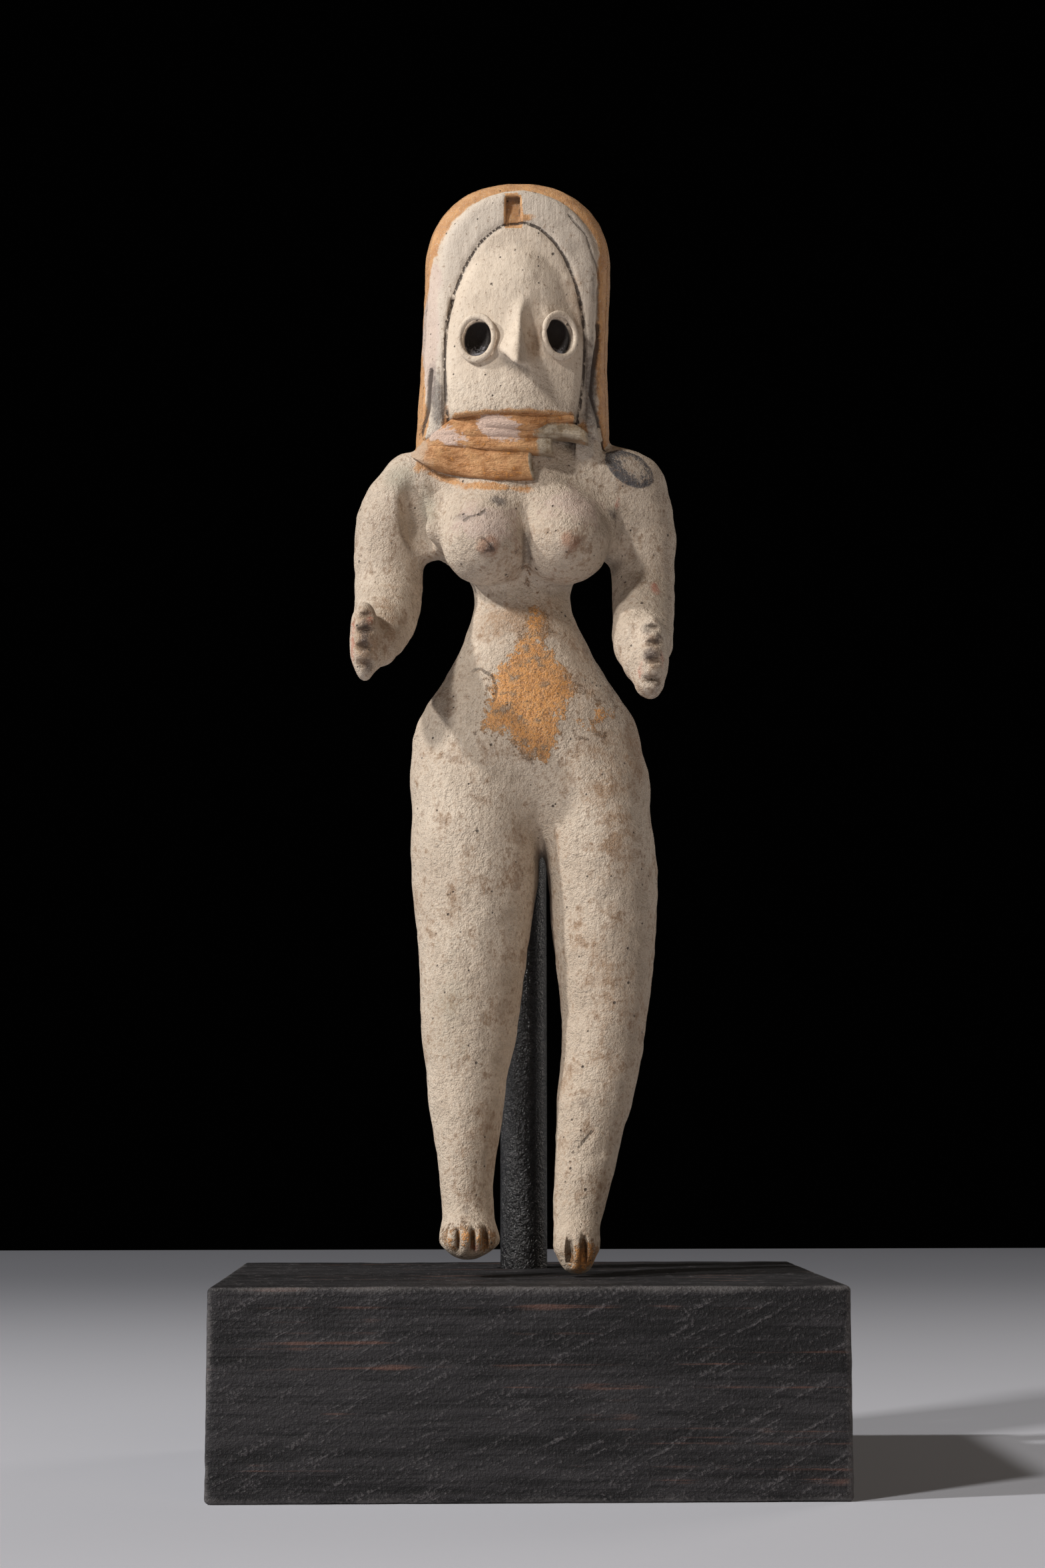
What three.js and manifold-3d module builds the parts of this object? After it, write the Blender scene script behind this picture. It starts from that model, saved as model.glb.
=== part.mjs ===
// Terracotta goddess idol on its display mount: a hand-modelled clay figure, held upright by a
// round black rod that stands in a black wooden block.
// Millimetres, +Z up, the figure looks along -Y, origin in the middle of the block's underside.

import * as THREE from 'three';
import { mergeVertices } from 'three/addons/utils/BufferGeometryUtils.js';
import Module from 'manifold-3d';

const wasm = await Module();
wasm.setup();

// Driving dimensions
const IDOL_HEIGHT = 171.8;
const BLOCK_WIDTH = 90;
const BLOCK_DEPTH = 66;
const BLOCK_HEIGHT = 29.5;
const BLOCK_EDGE = 0.7;
const ROD_DIAMETER = 7.4;
const ROD_EDGE = 0.5;
const ROD_X = 0.5;
const HOLE_FLOOR = 9.5;
const HOLE_CLEARANCE = 0.3;
const BED_CLEARANCE = 0.3;
const TOE_GAP = 0.3;

// The figure was measured at this height, and its pose and carving are shares of it
const DRAWN_HEIGHT = 171.8;
const FIGURE_SCALE = IDOL_HEIGHT / DRAWN_HEIGHT;
const FIGURE_Z = BLOCK_HEIGHT + TOE_GAP;
const BED_FRONT = 11.3;
const BED_TOP = 121;
const GRID_LOW = [-29.3, -19.3, -1.7];
const GRID_HIGH = [26.3, 16.3, 174.3];
const GRID_CELL = 1.15;
const FIGURE_TRIANGLES = 6600;

const ROUND_SIDES = 32;

// Small helpers for the clay field, which is negative inside the clay

const clamp = (value, low, high) => Math.min(Math.max(value, low), high);

// 0 below low, 1 above high, and a straight line between them
const ramp = (value, low, high) => clamp((value - low) / (high - low), 0, 1);

function smoothMin(a, b, radius) {
  const overlap = Math.max(radius - Math.abs(a - b), 0) / radius;
  return Math.min(a, b) - (overlap * overlap * radius) / 4;
}

const smoothMax = (a, b, radius) => -smoothMin(-a, -b, radius);

// Distance to an ellipsoid, or to an ellipse where the third radius is left out
function ellipsoid(point, centre, radii) {
  let near = 0;
  let slope = 0;
  for (let axis = 0; axis < radii.length; axis += 1) {
    const share = (point[axis] - centre[axis]) / radii[axis];
    near += share * share;
    slope += (share * share) / (radii[axis] * radii[axis]);
  }
  if (slope === 0) return -Math.min(...radii);
  return (Math.sqrt(near) * (Math.sqrt(near) - 1)) / Math.sqrt(slope);
}

// Smooth curve through rows whose first number is the position along it
function throughRows(rows) {
  const last = rows.length - 1;
  const slopes = rows.map((row, i) => {
    const before = rows[Math.max(i - 1, 0)];
    const after = rows[Math.min(i + 1, last)];
    return row.map((_, n) => (after[n] - before[n]) / (after[0] - before[0]));
  });
  return (position) => {
    const here = clamp(position, rows[0][0], rows[last][0]);
    let i = 0;
    while (i < last - 1 && here > rows[i + 1][0]) i += 1;
    const span = rows[i + 1][0] - rows[i][0];
    const t = (here - rows[i][0]) / span;
    const rise = t * t * (3 - 2 * t);
    const leave = span * t * (1 - t) * (1 - t);
    const arrive = span * t * t * (t - 1);
    return rows[i].map((start, n) => (
      start + (rows[i + 1][n] - start) * rise + slopes[i][n] * leave + slopes[i + 1][n] * arrive
    ));
  };
}

// Upright body of elliptical sections. Rows: height, middle x, middle y, half width, half depth
function column(rows) {
  const at = throughRows(rows);
  const low = rows[0][0];
  const high = rows[rows.length - 1][0];
  return (point) => {
    const [height, x, y, halfWidth, halfDepth] = at(point[2]);
    const beyond = Math.abs(point[2] - clamp(point[2], low, high));
    const side = ellipsoid([point[0], point[1]], [x, y], [halfWidth, halfDepth]);
    return beyond > 0 ? Math.hypot(Math.max(side, 0), point[2] - height) : side;
  };
}

// Round limb along a bent line. Rows: position, x, y, z, radius
const LIMB_PIECES = 9;

function limb(rows) {
  const at = throughRows(rows);
  const last = rows[rows.length - 1][0];
  const joints = [];
  for (let i = 0; i <= LIMB_PIECES; i += 1) joints.push(at((last * i) / LIMB_PIECES));
  return (point) => {
    let nearest = Infinity;
    for (let i = 0; i < LIMB_PIECES; i += 1) {
      const [, ax, ay, az, ar] = joints[i];
      const [, bx, by, bz, br] = joints[i + 1];
      const run = [bx - ax, by - ay, bz - az];
      const off = [point[0] - ax, point[1] - ay, point[2] - az];
      const length = run[0] * run[0] + run[1] * run[1] + run[2] * run[2];
      const t = clamp((off[0] * run[0] + off[1] * run[1] + off[2] * run[2]) / length, 0, 1);
      const away = Math.hypot(off[0] - run[0] * t, off[1] - run[1] * t, off[2] - run[2] * t);
      nearest = Math.min(nearest, away - ar - (br - ar) * t);
    }
    return nearest;
  };
}

// Outline of an arch in the front view: upright sides below the spring, a round crown above.
// The value is near the distance: how far the ring is from 1, over how fast it grows there
function arch(x, z, halfWidth, spring, rise) {
  const side = Math.abs(x) / halfWidth;
  const up = Math.max(z - spring, 0) / rise;
  const ring = Math.hypot(side, up);
  const growth = Math.hypot(side / halfWidth, up / rise) / Math.max(ring, 1e-3);
  return (ring - 1) / Math.max(growth, 0.03);
}

// Trunk, hips and legs. Heights are counted from the lower toe

const trunk = column([
  [65, 2.3, 1.4, 5.0, 3.6],
  [68, 2.2, 1.4, 11.0, 6.0],
  [73, 1.4, 1.0, 17.0, 8.4],
  [80.7, 0.5, 0.5, 17.8, 9.2],
  [85, 0.4, 0.2, 16.9, 8.8],
  [91, 0.4, 0.2, 13.0, 7.6],
  [97.5, 0.4, 0.5, 9.6, 6.6],
  [103.5, 0.1, 0.8, 7.6, 6.0],
  [108, 0.0, 0.8, 8.6, 6.2],
  [114, -0.6, 1.0, 13.5, 7.4],
  [120, -1.0, 1.0, 16.5, 7.8],
  [125, -0.9, 1.2, 16.0, 6.8],
  [128.5, -0.9, 1.5, 11.0, 5.5],
]);

const leftLeg = column([
  [5, -8.2, -8.2, 4.0, 3.4],
  [9, -8.5, -6.8, 3.8, 3.7],
  [14, -8.8, -5.8, 3.9, 4.2],
  [21, -8.6, -4.8, 4.9, 5.1],
  [27, -8.6, -4.0, 5.8, 5.8],
  [35, -8.3, -2.8, 7.0, 6.7],
  [43, -8.0, -1.8, 7.7, 7.5],
  [51, -7.5, -1.0, 8.6, 8.3],
  [60, -7.4, -0.4, 9.9, 9.0],
  [69, -7.6, 0.2, 9.8, 9.5],
  [77, -7.6, 0.6, 8.8, 8.8],
  [84, -6.6, 0.6, 6.2, 6.2],
]);

const rightLeg = column([
  [4, 7.6, -9.2, 3.1, 3.4],
  [8, 8.0, -7.8, 3.6, 3.7],
  [13, 8.7, -6.4, 4.2, 4.3],
  [21, 9.9, -5.0, 5.1, 5.2],
  [27, 11.0, -4.0, 5.9, 5.9],
  [35, 12.2, -2.8, 6.3, 6.7],
  [43, 12.6, -1.8, 7.2, 7.5],
  [51, 12.4, -1.0, 8.0, 8.3],
  [60, 12.2, -0.4, 8.5, 9.0],
  [69, 11.3, 0.2, 8.7, 9.5],
  [77, 9.6, 0.6, 8.6, 8.8],
  [84, 7.6, 0.6, 6.4, 6.2],
]);

const FEET = [
  { middle: [-8.1, -9.4, 5.4], radii: [4.0, 3.9, 3.1] },
  { middle: [7.6, -10.4, 3.9], radii: [3.2, 3.7, 4.0] },
];

const BUTTOCKS = [
  { middle: [-7.6, 5.4, 73], radii: [9.2, 8.4, 10] },
  { middle: [10.4, 5.4, 73], radii: [9.0, 8.4, 10] },
];

// Crease that runs up from the gap between the legs
const crease = limb([
  [0, 1.6, -10.4, 78, 0.2],
  [6, 2.1, -9.6, 72, 1.0],
  [12, 2.4, -8.2, 66, 1.4],
  [16, 2.6, -7.0, 62, 1.2],
]);

const LEG_BLEND = 0.9;
const HIP_BLEND = 3;
const CREASE_BLEND = 2;

function lowerBody(point) {
  let legs = smoothMin(leftLeg(point), rightLeg(point), LEG_BLEND);
  for (const foot of FEET) legs = smoothMin(legs, ellipsoid(point, foot.middle, foot.radii), 2);
  let seat = Infinity;
  for (const half of BUTTOCKS) seat = smoothMin(seat, ellipsoid(point, half.middle, half.radii), 1.5);
  return smoothMax(smoothMin(legs, seat, HIP_BLEND), -crease(point), CREASE_BLEND);
}

// Chest, shoulders and arms

const leftArm = limb([
  [0, -16.8, 0.8, 121.9, 6.2],
  [8, -20.5, 0.8, 116.4, 5.9],
  [18, -21.1, 0.3, 106.5, 5.3],
  [26, -21.4, -4.0, 100.0, 4.9],
  [34, -22.6, -9.5, 95.5, 3.9],
  [40, -23.5, -13.0, 92.8, 2.4],
]);

const rightArm = limb([
  [0, 16.4, 0.8, 121.5, 6.5],
  [8, 18.6, 0.8, 115.0, 5.5],
  [18, 18.9, 0.2, 106.5, 4.9],
  [26, 18.7, -4.5, 100.0, 4.9],
  [34, 18.2, -9.5, 94.5, 4.4],
  [42, 18.6, -13.0, 88.6, 2.0],
]);

const HANDS = [
  { middle: [-24.3, -13.6, 94.6], radii: [2.4, 3.6, 6.0] },
  { middle: [19.2, -12.2, 92.8], radii: [2.5, 4.4, 6.4] },
];

// Webs of clay that fill the armpits, and the folds pressed in front of them
const WEBS = [
  { middle: [-14.6, -1.4, 114.0], radii: [3.6, 5.6, 4.0] },
  { middle: [13.8, -1.0, 114.4], radii: [3.4, 5.2, 4.2] },
];

const armpitFolds = [
  limb([
    [0, -17.6, -6.4, 122.5, 0.8],
    [4, -17.4, -5.6, 119.0, 1.9],
    [9, -16.7, -4.6, 114.5, 2.1],
    [14, -15.2, -4.4, 110.5, 1.5],
  ]),
  limb([
    [0, 15.8, -7.4, 119.0, 0.4],
    [5, 14.8, -6.2, 115.0, 1.2],
    [9, 13.8, -5.4, 111.0, 1.0],
  ]),
];

const BREASTS = [
  { middle: [-5.7, -6.4, 111.6], radii: [6.9, 7.7, 6.5] },
  { middle: [6.3, -6.4, 112.0], radii: [7.0, 7.7, 6.8] },
];

const NIPPLES = [
  { middle: [-5.8, -13.3, 109.6], radii: [1.5, 0.9, 1.4] },
  { middle: [6.9, -13.4, 110.4], radii: [1.2, 1.0, 1.2] },
];

const NECK_MIDDLE = [-1.4, 0.6];
const NECK_RADII = [9.4, 9.2];

function chest(point) {
  const neck = Math.max(ellipsoid(point.slice(0, 2), NECK_MIDDLE, NECK_RADII), point[2] - 140, 112 - point[2]);
  return smoothMin(trunk(point), neck, 7);
}

function armsAndHands(point) {
  let arms = Math.min(leftArm(point), rightArm(point));
  for (const hand of HANDS) arms = smoothMin(arms, ellipsoid(point, hand.middle, hand.radii), 1.2);
  return arms;
}

// The joint of arm and chest is drawn out broadly on top and stays a crease below
function shoulders(point) {
  const [x, , z] = point;
  let body = chest(point);
  for (const web of WEBS) body = smoothMin(body, ellipsoid(point, web.middle, web.radii), 1.5);
  const blend = 1.8 + 5 * ramp(z, 113, 123) * ramp(x, -8, 8) + 2 * ramp(z, 120, 126);
  body = smoothMin(body, armsAndHands(point), blend);
  for (const fold of armpitFolds) body = smoothMax(body, -fold(point), 1.2);
  return body;
}

function breasts(point) {
  let pair = Infinity;
  for (const half of BREASTS) pair = smoothMin(pair, ellipsoid(point, half.middle, half.radii), 0.7);
  for (const tip of NIPPLES) pair = smoothMin(pair, ellipsoid(point, tip.middle, tip.radii), 0.8);
  return pair;
}

// Layered neck scarf, each strip ending further to the right than the one below it.
// A strip lies on the chest and the hood's hem, below the chin and above its own curved lower edge
const STRIPS = [
  { thickness: 1.3, lowest: 120.7, bend: 0.0125, middle: 0.0, end: 1.4 },
  { thickness: 1.9, lowest: 124.9, bend: 0.004, middle: 1.0, end: 4.4 },
  { thickness: 2.5, lowest: 127.2, bend: 0.002, middle: 0.0, end: 9.8 },
];
const SCARF_TOP = 131.0;
const SCARF_LEFT = -17.6;
const SCARF_BLEND = 3;

function scarf(point, clay) {
  const [x, y, z] = point;
  const under = smoothMin(smoothMin(clay, breasts(point), SCARF_BLEND), hood(point), SCARF_BLEND);
  const fade = ramp(x, SCARF_LEFT, SCARF_LEFT + 6);
  let layers = Infinity;
  for (const strip of STRIPS) {
    const lower = strip.lowest + strip.bend * (x - strip.middle) ** 2;
    const body = under - strip.thickness * fade;
    layers = Math.min(layers, Math.max(body, lower - z, x - strip.end, z - SCARF_TOP, y - 1));
  }
  return layers;
}

// Head: a hood of hair, an inner band of hair in front of it, and the face in front of both

const HOOD = { halfWidth: 14.8, spring: 157.8, rise: 14.0, low: 124, middleY: 0.8, halfDepth: 11.6, front: -7.0 };
const BAND = { halfWidth: 12.7, spring: 156.5, rise: 11.6, low: 129.6, front: -9.4 };
const FACE = { halfWidth: 10.6, spring: 142, rise: 20.2, low: 130.9, front: -12.6, chinHalfWidth: 9.8 };
const FACE_CURVE = 0.029;
const BROW_CURVE = 0.022;
const FACE_LEAN = 4.6;
const FACE_ASIDE = -0.1;
const THROAT_HALF_WIDTH = 9.8;
const HAIR_FLARE = 0.7;
const LOCK_FLARE = 1.5;
const LOCK_SLANT = 0.35;
const HAIR_FALL = 12;
const HAIR_TAPER = 2.4;

// The head leans a little to the right as it rises
const headX = (z) => -1.65 + 0.028 * (z - 129);

// Hollow below the chin, where the two locks of hair part round the throat
function throat([x, y, z]) {
  return Math.max(Math.abs(x - headX(z)) - THROAT_HALF_WIDTH, z - FACE.low, y - HOOD.middleY);
}

function hood(point) {
  const [x, y, z] = point;
  const up = Math.max(z - HOOD.spring, 0) / HOOD.rise;
  const flare = HAIR_FLARE * ramp(-z, -140, -126);
  const gather = HAIR_TAPER * ramp(-z, -HOOD.low, HAIR_FALL - HOOD.low);
  const across = Math.abs(x - headX(z)) / (HOOD.halfWidth + flare - gather);
  const deep = Math.abs(y - HOOD.middleY) / (HOOD.halfDepth - flare);
  const ring = (across ** 2.6 + deep ** 2.6) ** (1 / 2.6);
  const shell = ((ring ** 2.06 + up ** 2.06) ** (1 / 2.06) - 1) * 12;
  const cut = smoothMax(shell, HOOD.front - y, 1.4);
  const lowest = HOOD.low - HAIR_FALL * ramp(y, 0, 6);
  return smoothMax(cut, lowest - z, 2.5);
}

function band(point) {
  const [x, y, z] = point;
  const aside = x - headX(z);
  const outline = arch(aside, z, BAND.halfWidth + LOCK_FLARE * ramp(-z, -136, -128), BAND.spring, BAND.rise);
  const body = smoothMax(outline, BAND.front + 0.012 * aside * aside - y, 1.8);
  const lowest = BAND.low - LOCK_SLANT * (Math.abs(aside) - 9);
  return Math.max(smoothMax(body, lowest - z, 0.8), y - 4);
}

function face(point) {
  const [x, y, z] = point;
  const below = ramp(-z, -FACE.spring, -FACE.low);
  const halfWidth = FACE.halfWidth + (FACE.chinHalfWidth - FACE.halfWidth) * below * below;
  const aside = x - headX(z) - FACE_ASIDE;
  const outline = arch(aside, z, halfWidth, FACE.spring, FACE.rise);
  const lean = FACE_LEAN * (Math.max(z - FACE.spring, 0) / FACE.rise) ** 2;
  const curve = FACE_CURVE + BROW_CURVE * ramp(aside, 0, 3) * ramp(z, 143, 150);
  const front = FACE.front + curve * aside * aside + lean - y;
  const body = smoothMax(smoothMax(outline, front, 1.7), FACE.low - z, 0.5);
  return Math.max(body, y - 2);
}

// A pinched nose: the space below three planes that meet at its tip, with its edges rounded
const NOSE = {
  root: [-0.3, -12.6, 149.4],
  tip: [-1.3, -18.2, 136.3],
  left: [-5.0, -11.7, 141.8],
  right: [1.3, -11.4, 138.6],
};
const NOSE_EDGE = 1.1;
const NOSE_TOP_EDGE = 2.2;

// The thumb's hollow that was pressed between the nose and the right eye
const NOSE_HOLLOW = { middle: [1.9, -13.2, 144.8], radii: [1.8, 2.0, 5.0] };
const NOSE_HOLLOW_EDGE = 0.9;

function planeThrough(a, b, c) {
  const [p, q, r] = [a, b, c].map((corner) => new THREE.Vector3(...corner));
  return new THREE.Plane().setFromCoplanarPoints(p, r, q);
}

const noseSides = [
  planeThrough(NOSE.root, NOSE.tip, NOSE.left),
  planeThrough(NOSE.root, NOSE.right, NOSE.tip),
  planeThrough(NOSE.tip, NOSE.right, NOSE.left),
];

function nose(point) {
  const place = new THREE.Vector3(...point);
  const [left, right, under] = noseSides.map((side) => side.distanceToPoint(place));
  const pinched = smoothMax(smoothMax(left, right, NOSE_EDGE), under, NOSE_EDGE);
  return Math.max(smoothMax(pinched, point[2] - NOSE.root[2], NOSE_TOP_EDGE), point[1] + 9);
}

function head(point) {
  const hair = Math.max(Math.min(hood(point), band(point)), -throat(point));
  const mask = smoothMin(face(point), nose(point), NOSE_EDGE);
  const hollow = ellipsoid(point, NOSE_HOLLOW.middle, NOSE_HOLLOW.radii);
  return Math.min(hair, smoothMax(mask, -hollow, NOSE_HOLLOW_EDGE));
}

// The whole figure as one field

function clayField(point) {
  const withArms = shoulders(point);
  const upper = smoothMin(withArms, breasts(point), 1.6 + 4.5 * ramp(point[2], 111, 118));
  const figure = smoothMin(Math.min(upper, scarf(point, withArms)), lowerBody(point), 3);
  return smoothMin(figure, head(point), 0.6);
}

// Mesh of a field, by cutting every grid cell into six tetrahedra round its diagonal

const CELL_PATHS = [
  [1, 3], [1, 5], [2, 3], [2, 6], [4, 5], [4, 6],
];

// Blocks of cells that lie far from the surface are filled in one go
const BLOCK_CELLS = 4;

function fieldMesh(field, lower, upper, cell) {
  const count = lower.map((start, axis) => Math.ceil((upper[axis] - start) / cell) + 1);
  const place = (i, j, k) => i + count[0] * (j + count[1] * k);
  const where = (n) => [
    lower[0] + cell * (n % count[0]),
    lower[1] + cell * (Math.floor(n / count[0]) % count[1]),
    lower[2] + cell * Math.floor(n / (count[0] * count[1])),
  ];
  const values = new Float64Array(count[0] * count[1] * count[2]);
  const blocks = count.map((size) => Math.ceil(size / BLOCK_CELLS));
  for (let n = 0; n < blocks[0] * blocks[1] * blocks[2]; n += 1) {
    const block = [n % blocks[0], Math.floor(n / blocks[0]) % blocks[1], Math.floor(n / blocks[0] / blocks[1])];
    const start = block.map((number) => number * BLOCK_CELLS);
    const stop = start.map((first, axis) => Math.min(first + BLOCK_CELLS, count[axis]));
    const far = field(start.map((first, axis) => lower[axis] + cell * (first + BLOCK_CELLS / 2)));
    const empty = Math.abs(far) > 2 * BLOCK_CELLS * cell;
    for (let k = start[2]; k < stop[2]; k += 1) {
      for (let j = start[1]; j < stop[1]; j += 1) {
        for (let i = start[0]; i < stop[0]; i += 1) {
          const value = empty ? far : field(where(place(i, j, k)));
          values[place(i, j, k)] = Math.abs(value) < 1e-4 ? 1e-4 : value;
        }
      }
    }
  }
  const points = [];
  const faces = [];
  const known = new Map();
  const crossing = (inside, outside) => {
    const key = Math.min(inside, outside) * values.length + Math.max(inside, outside);
    if (!known.has(key)) {
      const t = clamp(values[inside] / (values[inside] - values[outside]), 0.06, 0.94);
      const a = where(inside);
      const b = where(outside);
      known.set(key, points.length);
      points.push(a.map((start, axis) => start + (b[axis] - start) * t));
    }
    return known.get(key);
  };
  const middle = (list) => [0, 1, 2].map((axis) => (
    list.reduce((sum, n) => sum + where(n)[axis], 0) / list.length
  ));
  const addFace = (a, b, c, outward) => {
    const along = dot(crossOf(points[a], points[b], points[c]), outward);
    faces.push(along > 0 ? [a, b, c] : [a, c, b]);
  };
  const addTetrahedron = (corners) => {
    const inside = corners.filter((n) => values[n] < 0);
    const outside = corners.filter((n) => values[n] > 0);
    if (inside.length === 0 || outside.length === 0) return;
    const from = middle(inside);
    const outward = middle(outside).map((value, axis) => value - from[axis]);
    if (inside.length === 2) {
      const [a, b] = inside;
      const [c, d] = outside;
      const ring = [crossing(a, c), crossing(a, d), crossing(b, d), crossing(b, c)];
      addFace(ring[0], ring[1], ring[2], outward);
      addFace(ring[0], ring[2], ring[3], outward);
      return;
    }
    const [a, b, c] = inside.length === 1
      ? outside.map((n) => crossing(inside[0], n))
      : inside.map((n) => crossing(n, outside[0]));
    addFace(a, b, c, outward);
  };
  for (let k = 0; k < count[2] - 1; k += 1) {
    for (let j = 0; j < count[1] - 1; j += 1) {
      for (let i = 0; i < count[0] - 1; i += 1) {
        const corner = (bits) => place(i + (bits & 1), j + ((bits >> 1) & 1), k + (bits >> 2));
        let below = 0;
        for (let bits = 0; bits < 8; bits += 1) below += values[corner(bits)] < 0 ? 1 : 0;
        if (below === 0 || below === 8) continue;
        for (const [first, second] of CELL_PATHS) {
          addTetrahedron([corner(0), corner(first), corner(second), corner(7)]);
        }
      }
    }
  }
  return { points, faces };
}

// Fewer triangles for the same form: the edge whose loss moves the surface least goes first

function crossOf(p, q, r) {
  const [ux, uy, uz] = [q[0] - p[0], q[1] - p[1], q[2] - p[2]];
  const [vx, vy, vz] = [r[0] - p[0], r[1] - p[1], r[2] - p[2]];
  return [uy * vz - uz * vy, uz * vx - ux * vz, ux * vy - uy * vx];
}

const dot = (u, v) => u[0] * v[0] + u[1] * v[1] + u[2] * v[2];

// Squared distance to a face's plane, as the ten terms of a quadratic form
function planeQuadric(p, q, r) {
  const normal = crossOf(p, q, r);
  const area = Math.sqrt(dot(normal, normal));
  if (area < 1e-12) return new Array(10).fill(0);
  const [a, b, c] = normal.map((value) => value / area);
  const d = -dot([a, b, c], p);
  const terms = [a * a, a * b, a * c, a * d, b * b, b * c, b * d, c * c, c * d, d * d];
  return terms.map((term) => term * area);
}

function quadricError(q, [x, y, z]) {
  const flat = q[0] * x * x + 2 * q[1] * x * y + 2 * q[2] * x * z + q[4] * y * y;
  const rest = 2 * q[5] * y * z + q[7] * z * z + 2 * (q[3] * x + q[6] * y + q[8] * z) + q[9];
  return flat + rest;
}

// The point with the least error, by Cramer's rule, or none where the surface is flat
function bestPoint(q) {
  const [a, b, c, d, e, f, g, h, i] = q;
  const det = a * (e * h - f * f) - b * (b * h - f * c) + c * (b * f - e * c);
  const size = a + e + h;
  if (Math.abs(det) < 1e-4 * size * size * size) return null;
  return [
    -(d * (e * h - f * f) - b * (g * h - f * i) + c * (g * f - e * i)) / det,
    -(a * (g * h - i * f) - d * (b * h - f * c) + c * (b * i - g * c)) / det,
    -(a * (e * i - f * g) - b * (b * i - g * c) + d * (b * f - e * c)) / det,
  ];
}

const distance = (p, q) => Math.sqrt((p[0] - q[0]) ** 2 + (p[1] - q[1]) ** 2 + (p[2] - q[2]) ** 2);

// Cheapest item first
class Heap {
  items = [];

  push(item) {
    const { items } = this;
    let n = items.push(item) - 1;
    while (n > 0) {
      const parent = (n - 1) >> 1;
      if (items[parent].cost <= item.cost) break;
      items[n] = items[parent];
      n = parent;
    }
    items[n] = item;
  }

  pop() {
    const { items } = this;
    const top = items[0];
    const item = items.pop();
    if (items.length === 0) return top;
    let n = 0;
    while (2 * n + 1 < items.length) {
      let child = 2 * n + 1;
      if (child + 1 < items.length && items[child + 1].cost < items[child].cost) child += 1;
      if (items[child].cost >= item.cost) break;
      items[n] = items[child];
      n = child;
    }
    items[n] = item;
    return top;
  }
}

function decimate({ points, faces }, target) {
  const around = points.map(() => new Set());
  const quadrics = points.map(() => new Array(10).fill(0));
  faces.forEach((corners, n) => {
    const quadric = planeQuadric(...corners.map((v) => points[v]));
    for (const v of corners) {
      around[v].add(n);
      for (let i = 0; i < 10; i += 1) quadrics[v][i] += quadric[i];
    }
  });
  const version = new Int32Array(points.length);
  const neighbours = (v) => {
    const found = new Set();
    for (const n of around[v]) for (const w of faces[n]) found.add(w);
    found.delete(v);
    return found;
  };
  const heap = new Heap();
  const offer = (v, w) => {
    const quadric = quadrics[v].map((value, i) => value + quadrics[w][i]);
    const halfway = points[v].map((value, axis) => (value + points[w][axis]) / 2);
    const reach = distance(halfway, points[v]);
    let spot = bestPoint(quadric);
    if (!spot || distance(spot, halfway) > 3 * reach) spot = halfway;
    const cost = quadricError(quadric, spot) + 1e-5 * reach * reach;
    heap.push({ cost, v, w, spot, quadric, stamp: version[v] + version[w] });
  };
  for (const corners of faces) {
    for (let i = 0; i < 3; i += 1) {
      const [v, w] = [corners[i], corners[(i + 1) % 3]];
      if (v < w) offer(v, w);
    }
  }
  // A collapse must keep the surface closed and turn no remaining face over
  const mayMerge = (v, w, spot) => {
    const fromV = neighbours(v);
    let shared = 0;
    for (const n of neighbours(w)) shared += fromV.has(n) ? 1 : 0;
    if (shared !== 2) return false;
    for (const [moved, other] of [[v, w], [w, v]]) {
      for (const n of around[moved]) {
        const corners = faces[n];
        if (corners.includes(other)) continue;
        const [p, q, r] = corners.map((c) => points[c]);
        const before = crossOf(p, q, r);
        const after = crossOf(...corners.map((c) => (c === moved ? spot : points[c])));
        const agreement = dot(before, after) / Math.sqrt(dot(before, before) * dot(after, after));
        if (!(agreement > 0.25)) return false;
      }
    }
    return true;
  };
  let left = faces.length;
  while (left > target && heap.items.length > 0) {
    const { v, w, spot, quadric, stamp } = heap.pop();
    const stale = around[v].size === 0 || around[w].size === 0 || stamp !== version[v] + version[w];
    if (stale || !mayMerge(v, w, spot)) continue;
    points[v] = spot;
    quadrics[v] = quadric;
    for (const n of around[w]) {
      if (faces[n].includes(v)) {
        for (const c of faces[n]) if (c !== w) around[c].delete(n);
        left -= 1;
      } else {
        faces[n] = faces[n].map((c) => (c === w ? v : c));
        around[v].add(n);
      }
    }
    around[w].clear();
    version[v] += version[w] + 1;
    for (const n of neighbours(v)) offer(Math.min(v, n), Math.max(v, n));
  }
  const kept = faces.filter((corners, n) => corners.every((c) => around[c].has(n)));
  return { points, faces: kept };
}

// Closed meshes to solids and back

function solidFromArrays(positions, indices) {
  const mesh = new wasm.Mesh({
    numProp: 3,
    vertProperties: Float32Array.from(positions),
    triVerts: Uint32Array.from(indices),
  });
  return new wasm.Manifold(mesh);
}

function solidFromFaces({ points, faces }) {
  const number = new Map();
  const positions = [];
  const indices = [];
  for (const corner of faces.flat()) {
    if (!number.has(corner)) {
      number.set(corner, number.size);
      positions.push(...points[corner]);
    }
    indices.push(number.get(corner));
  }
  return solidFromArrays(positions, indices);
}

function solidFromGeometry(geometry, matrix = new THREE.Matrix4()) {
  const moved = geometry.clone().applyMatrix4(matrix);
  moved.deleteAttribute('normal');
  moved.deleteAttribute('uv');
  const merged = mergeVertices(moved, 1e-4);
  return solidFromArrays(merged.attributes.position.array, merged.index.array);
}

function geometryFromSolid(solid) {
  const { vertProperties, triVerts } = solid.getMesh();
  const geometry = new THREE.BufferGeometry();
  geometry.setAttribute('position', new THREE.BufferAttribute(vertProperties, 3));
  geometry.setIndex(new THREE.BufferAttribute(triVerts, 1));
  geometry.computeVertexNormals();
  return geometry;
}

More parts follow.
